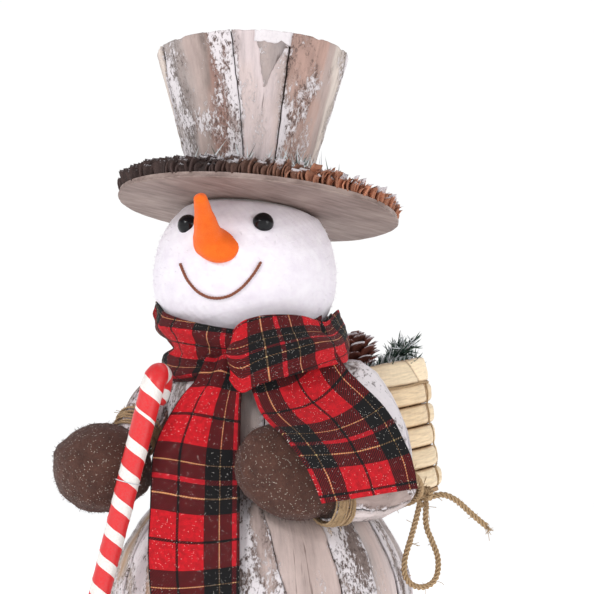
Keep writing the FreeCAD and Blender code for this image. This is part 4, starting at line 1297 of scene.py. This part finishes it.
def make_wrap():
    """The scarf's turn round the neck: a collar with two rolls and the end that crosses over it."""
    soup = Soup()
    cols, rows = 260, 60
    turn = np.linspace(-math.pi, math.pi, cols, endpoint=False)[None]
    s = steps_down(rows)
    degrees = np.degrees(turn)
    stops = [-180, -165, -150, -125, -105, -90, -65, -30, -8, 0, 10, 40, 90, 140, 165, 180]
    lip = [325, 317, 310, 303, 298.5, 296, 297, 303, 310, 311, 309, 312, 320, 318, 319, 325]
    top = np.interp(degrees, stops, lip)
    foot = np.interp(degrees, stops, [262, 262, 262, 262, 260, 258, 258, 262, 264, 264, 264, 262, 258,
                                      258, 260, 262])
    profile = np.interp(s, [0, 0.12, 0.3, 0.5, 0.6, 0.75, 0.9, 1.0],
                        [64.0, 66.5, 67.0, 62.5, 60.5, 66.0, 68.0, 60.0])
    squeeze = np.interp(degrees, [-180, -150, -90, -30, 0, 90, 180], [-1.5, 0, 2.5, -1.0, -2.5, 0.5, -1.5])
    pinch = -4.5 * hump(s, 0.56, 0.1) * hump(np.abs(degrees), 180, 35)
    crease = 1.5 * np.sin(s * 17 + 2.0 * np.sin(turn * 2) + turn * 1.5)
    crease = crease + 1.2 * waves(turn * 66, s * 130, 33, 48.0)
    reach = profile + squeeze + pinch + crease * np.clip(s * 6, 0.25, 1)
    middle_u = HEAD[0] + 9 * s
    height = top * (1 - s) + foot * s + 1.6 * np.sin(turn * 5 + s * 4) * np.sin(np.pi * s)
    grid = stacked(middle_u + reach * np.cos(turn), reach * np.sin(turn), height)
    out = stacked(np.cos(turn), np.sin(turn), 0 * turn)
    slope = np.gradient(grid, axis=0)
    normal = out - slope * (np.sum(out * slope, -1) / np.sum(slope * slope, -1))[..., None]
    normal /= np.linalg.norm(normal, axis=2)[..., None]
    across = s * 84 - 12 + 5 * np.sin(turn * 3)
    along = turn * 67 + 10 * s + 12
    marks = stacked(across * MM, along * MM, 0.0)
    soup.shell(grid + normal * CLOTH / 2, grid - normal * CLOTH / 2, marks, around=True)

    crossing = [
        ((47, 26, 309), (49, 28, 266)), ((52, -3, 313), (60, -8, 280)),
        ((43, -37, 302), (57, -42, 274)), ((27, -58, 305), (40, -69, 270)),
        ((8, -68.5, 306), (17, -83, 264)), ((-6, -71, 304), (0, -88, 258)),
        ((-14, -73, 300), (-12, -88, 253)), ((-19, -72, 292), (-20, -82, 262)),
    ]

    def fold(s, t):
        return -(2.6 * np.cos(s * 9.5 + 2.0 * t) * np.clip(t, 0.25, 1)
                 + 1.2 * waves(s * 45, t * 130, 35, 42.0) + 2.5 * np.sin(np.pi * s) + 1.5)

    grid, run, s = drape(crossing, 120, 54, fold)
    cloth(soup, grid, (0.3, -0.9, 0), s * 84 - 58 + 9 * np.sin(run / 30), run + 21)
    return soup


# ---- candy cane ----


def make_cane(stripes):
    crook_radius, drop, head = 9.0, 11.0, 66.0
    turn = math.radians(-12)
    over = way_round(turn)
    line = [np.array([0, 0, z]) for z in np.linspace(-187, head, 130)]
    for angle in np.linspace(0, math.pi, 22)[1:]:
        line.append(over * crook_radius * (1 - math.cos(angle))
                    + np.array([0, 0, head + crook_radius * math.sin(angle)]))
    for z in np.linspace(head, head - drop, 8)[1:]:
        line.append(over * 2 * crook_radius + np.array([0, 0, z]))
    line = np.array(line)
    spots = lengths_along(line)
    first, second = frames_along(line)
    sides = 40
    angle = full_circle(sides)
    reach = np.interp(spots, [0, 253, 400], [6.5, 8.0, 8.0])
    reach = reach * np.interp(spots, [0, 2.5, spots[-1] - 4, spots[-1]], [0.72, 1, 1, 0.7])
    step = ((spots[:, None] / 20.0 + angle[None] / TAU) % 1.0)
    ridge = 0.25 * hump(step, 0.03, 0.05) + 0.25 * hump(step, 0.62, 0.04)
    wobble = 0.12 * waves(spots[:, None], angle[None] * 7, 51, 23.0)
    rings = line[:, None] + (reach[:, None] + ridge + wobble)[..., None] * circle_of(
        angle[None], first[:, None], second[:, None])
    marks = stacked(np.cos(angle)[None], np.sin(angle)[None], (spots * MM)[:, None])
    soup = Soup()
    soup.add(rings, ring_faces(len(line), sides), marks)
    soup.piece("cane_ribbon", stripes, CANE_FRAME, "cane", "cane_stripes", ["candy_cane"])


# ---- basket ----


# The second colour is the painted shade in the gaps between the plaits.
RUSH_LIGHT, RUSH_SHADED = np.array(srgb(255, 232, 196)), np.array(srgb(146, 100, 58))


def make_basket(rush, cone_wood, green, jute):
    source = np.random.default_rng(88)
    make_weave(rush, source)
    make_basket_twine(jute, source)
    make_hanging_eyes(jute)
    make_pine_cone(cone_wood)
    make_sprigs(green)


def woven_band(name, node, rush, around, height, reach, inner_reach, marks, colours, lit, shades):
    """A closed band of plaits; lit is 1 on their crowns and 0 in the painted shade of the gaps between them.
    """
    lit = lit[..., None]
    tints = (RUSH_SHADED + (colours - RUSH_SHADED) * lit) * shades[..., None]
    soup = Soup()
    soup.shell(round_axis(reach, around, height), round_axis(inner_reach, around, height),
               stacked(*marks), np.concatenate([tints, np.zeros_like(lit)], -1), around=True)
    soup.piece(name, rush, BASKET_FRAME, "basket", "rush", [node])


def make_weave(rush, source):
    """The five rows of plaits and the rim band above them."""
    around = full_circle(420)[None]
    s = steps_down(17)
    for row in range(WEAVE_ROWS):
        low = WEAVE_LOW + row * ROW_HEIGHT
        cell = (around - math.radians(ROW_STARTS[row])) * PLAITS / TAU + 0.05 * (s - 0.5)
        index = np.floor(cell).astype(int) % PLAITS
        inside = cell - np.floor(cell)
        pillow = clamp(1 - np.abs(2 * inside - 1) ** 16)
        cap = clamp(1 - np.abs(2 * s - 1) ** 3.2)
        shades = source.uniform(0.90, 1.02, PLAITS)[index]
        golden = source.uniform(0.0, 0.4, PLAITS)[index][..., None]
        bulges = source.uniform(0.8, 1.2, PLAITS)[index]
        plump = clamp(1 - np.abs(2 * inside - 1) ** 4)
        reach = (BASKET_FOOT + BASKET_FLARE * (low - WEAVE_LOW + s * ROW_HEIGHT) - 2.4
                 + 4.8 * (cap * plump) ** 0.5 * bulges + 0.3 * waves(around * 45, s * 14, 90 + row, 7.0))
        height = low + 0.2 + s * (ROW_HEIGHT - 0.4)
        inner_reach = BASKET_FOOT + BASKET_FLARE * (low - WEAVE_LOW + s * ROW_HEIGHT) - 4.2
        # lit darkens the colour as painted shade at each plait's ends and along the row's top and foot.
        lit = clamp(pillow * 1.4) * clamp(cap * 2.2)
        # A few rush leaves lie side by side in each plait, with a fine line of painted shade between them.
        leaf = (np.cos(TAU * (3 * s + 0.25 * np.sin(around * PLAITS))) * 0.5 + 0.5) ** 6
        lit = lit * (1 - 0.22 * leaf)
        rushes = RUSH_LIGHT + (np.array(srgb(226, 182, 124)) - RUSH_LIGHT) * golden
        marks = around * 45 * MM, s * ROW_HEIGHT * MM, index * 0.31 + row
        woven_band(f"weave_row_{row + 1}", f"basket_weave_row_{row + 1}", rush, around, height, reach,
                   inner_reach, marks, rushes, lit, shades)

    wraps = 9
    cell = around * wraps / TAU + 0.35 * (s - 0.5)
    inside = cell - np.floor(cell)
    index = np.floor(cell).astype(int) % wraps
    step = clamp(inside * 14) * clamp((1 - inside) * 14 + 0.2)
    cap = clamp(1 - np.abs(2 * s - 1) ** 4)
    reach = BASKET_MOUTH - 1.5 + 3.0 * cap ** 0.5 * (0.75 + 0.25 * step) + 0.8 * inside + 0.3 * waves(
        around * 50, s * 15, 97, 6.0)
    height = WEAVE_TOP + s * RIM_HEIGHT + 0.7 * waves(around * 50, 0 * s, 98, 40.0)
    shades = source.uniform(0.86, 1.05, wraps)[index]
    marks = around * 50 * MM, s * RIM_HEIGHT * MM, index * 0.7 + 9
    # The rim's colour is darkened as painted shade where the wraps meet and along its top and foot.
    woven_band("rim_band", "basket_rim", rush, around, height, reach, BASKET_MOUTH - 3.6, marks, RUSH_LIGHT,
               clamp(step * (0.35 + cap)), shades)


def make_basket_twine(jute, source):
    """The thin cord that runs round under the rim and down the ends of the plaits."""
    circle = np.linspace(0, TAU, 200)
    twine = Soup()
    reach = BASKET_MOUTH + 1.0
    rope(twine, round_axis(reach, circle, WEAVE_TOP - 0.6 + 0.4 * np.sin(circle * 9)), 1.5, lay=5,
         step=1.4, seed=4)
    for column in range(PLAITS):
        route = []
        for row in range(WEAVE_ROWS - 1, -1, -1):
            turn = math.radians(ROW_STARTS[row] + column * 360 / PLAITS)
            for part in (0.95, 0.5, 0.05):
                height = WEAVE_LOW + (row + part) * ROW_HEIGHT
                reach = BASKET_FOOT + BASKET_FLARE * (height - WEAVE_LOW) + (1.2 if part == 0.5 else 0.2)
                swing = turn + source.uniform(-0.02, 0.02)
                route.append((reach * math.cos(swing), reach * math.sin(swing), height))
        rope(twine, smooth_line(route, 90), 1.4, lay=5, step=1.4, seed=40 + column)
    twine.piece("basket_twine", jute, BASKET_FRAME, "basket", "jute", ["basket_cord"])


def make_hanging_eyes(jute):
    """Two linked eyes of twine, one on the scarf and one on the basket."""
    hinge = next(joint for joint in frame["joints"] if joint["name"] == "basket_swing")
    up = Vector((0, 0, 1))
    side_way = Vector(hinge["axis"])
    hang_way = up.cross(side_way)
    hang = Vector(hinge["pos_m"]) / MM
    circle = np.linspace(0, TAU, 50)
    for name, node, body, centre, first, second in (
            ("neck_eye_twine", "neck_eye", "root", hang - hang_way * EYE_RADIUS, hang_way, side_way),
            ("basket_eye_twine", "basket_eye", "basket", hang + hang_way - up, hang_way, up)):
        soup = Soup()
        ring = np.array(centre) + EYE_RADIUS * circle_of(circle, np.array(first), np.array(second))
        rope(soup, ring, 2.3, lay=6, step=0.8, seed=6)
        soup.piece(name, jute, PLAIN, body, "jute", [node])


def make_pine_cone(cone_wood):
    """Scales on a spiral round a short woody core."""
    source = np.random.default_rng(99)
    place = BASKET_FRAME @ moved(-1, -24, 281)
    soup = Soup()
    rows, sides = 12, 16
    t = steps_down(rows)
    turn = full_circle(sides)[None]
    reach = 7.5 * np.sin(0.25 + t * 2.7)
    core = round_axis(reach, turn, -12 + 25 * t)
    soup.add(core, ring_faces(rows, sides), core * MM, (*srgb(60, 30, 24), 0.0))
    count = 40
    for index in range(count):
        share = index / (count - 1)
        angle = index * math.radians(137.5)
        z = -11 + 23 * share
        foot_reach = 6.5 * math.sin(0.3 + share * 2.5)
        out = way_out(angle)
        tilt = 0.25 + 1.0 * share
        face = out * math.cos(tilt) * 0.4 - np.array([0, 0, 1.0]) * 0.9 * (1 - share) + out * 0.3
        face = unit(face)
        side = way_round(angle)
        face = unit(face - side * face.dot(side))
        tall = 14.0 * (0.75 + 0.4 * math.sin(math.pi * share))
        tint = np.array(srgb(112, 58, 44)) * source.uniform(0.6, 1.3)
        scale(soup, out * foot_reach + (0, 0, z), face, side, tall, 10.5, 0.7, tint,
              source.uniform(0.3, 0.9))
    soup.piece("pine_cone_open", cone_wood, place, "basket", "pine_cone_scales", ["pine_cone"])


SPRIGS = [  # foot across and back from the basket's axis, way, length
    ((10, -18), (0.85, -0.1, 0.45), 36), ((16, 4), (0.6, 0.5, 0.55), 32), ((-4, 8), (0.05, 0.3, 0.8), 28),
    ((-18, 0), (-0.2, 0.1, 0.85), 26), ((4, 24), (0.2, 0.6, 0.6), 28),
]


def make_sprigs(green):
    source = np.random.default_rng(111)
    top = WEAVE_TOP + 12
    soup = Soup()
    for (across, back), way, length in SPRIGS:
        foot = np.array([across, back, top])
        way = unit(np.array(way))
        rope(soup, [foot - way * 2, foot + way * length * 0.5 + (0, 0, 0.6), foot + way * length], 1.8,
             strands=1, step=2, tint=(*srgb(86, 62, 44), 0), sides=6)
        for step in np.linspace(0.05, 1.0, 20):
            needles(soup, foot + way * length * step, way * 1.3, 0.6, 8, 13, source, 0.4, 1.05)
    for _ in range(120):
        turn, reach = source.uniform(0, TAU), 43 * math.sqrt(source.random())
        spot = np.array([reach * math.cos(turn), reach * math.sin(turn), top])
        needles(soup, spot, (math.cos(turn) * 0.5, math.sin(turn) * 0.5, 0.7), 0.4, 8, 15, source, 0.4,
                1.05)
    soup.piece("pine_sprig_needles", green, BASKET_FRAME, "basket", "greenery", ["pine_sprigs"])


# ---- everything ----


def frosted_material(name, frost, scale, roughness=0.75):
    """The piece's tint under streaks, with frost where its tint's alpha is high."""
    m = Shader(name, roughness)
    tint = m.tint()
    grain = m.noise(m.place(), scale, 5, 0.7)
    base = m.shade(tint.outputs["Color"], m.ramp(grain, [(0.3, 0.6), (0.7, 1.35)]))
    level = m.total((grain, 0.9), (tint.outputs["Alpha"], 0.75))
    cover = m.ramp(level, [(0.66, 0.0), (0.86, 0.92)])
    m.colour(m.mix(cover, base, frost))
    m.bump(grain, 0.0004, 0.6)
    return m.material


def paint(material, *nodes):
    for node in nodes:
        mesh = frame["nodes"][node].data
        mesh.materials.clear()
        mesh.materials.append(material)


set_stage()
jute = jute_material()
veneer = veneer_material()
brown = felt_material("brown_felt", srgb(46, 26, 20), srgb(100, 63, 51), 0.10)
orange = felt_material("orange_felt", srgb(246, 92, 4), srgb(255, 122, 26), 0)
cone_wood = frosted_material("cone_scales", srgb(226, 220, 224), 900)
green = frosted_material("needles", srgb(232, 236, 238), 600, 0.6)
make_jute(jute)
make_bark(bark_material())
make_brim(veneer)
make_garland(cone_wood)
make_hat_greens(green)
make_head(fleece_material(), orange, plain_material("mouth_cord", srgb(142, 84, 62), 0.7, 900, 0.3))
make_hands(brown, jute)
make_scarf(tartan_material())
make_cane(cane_material())
make_basket(rush_material(), cone_wood, green, jute)
# The cores get the dark brown as painted shade in the gaps between the bark strips.
paint(gap_shade_core_material(), "lower_body_core", "upper_body_core", "left_upper_arm", "left_forearm",
      "right_arm", "hat_crown_core")
paint(veneer, "hat_brim", "hat_top")
# Each plain material's name, colour, roughness, grain, spread and other inputs, and its nodes.
for name, colour, rough, grain, spread, extra, nodes in (
        ("board", (170, 132, 92), 0.7, 240, 0.12, {}, "base_disc core_dowel basket_base"),
        ("foam", (238, 238, 236), 0.9, 400, 0.12, {}, "head_core"),
        ("moss", (44, 58, 44), 0.95, 300, 0.4, {}, "foam_block"),
        ("gloss_black", (12, 12, 16), 0.2, 600, 0.12, {"Specular_IOR_Level": 0.3}, "left_eye right_eye"),
        ("stake_rush", (214, 184, 138), 0.6, 600, 0.12, {}, "basket_stakes"),
        ("clear_thread", (236, 236, 240), 0.2, 600, 0.12, {"Transmission_Weight": 0.3}, "cane_thread")):
    paint(plain_material(name, srgb(*colour), rough, grain, spread, **extra), *nodes.split())
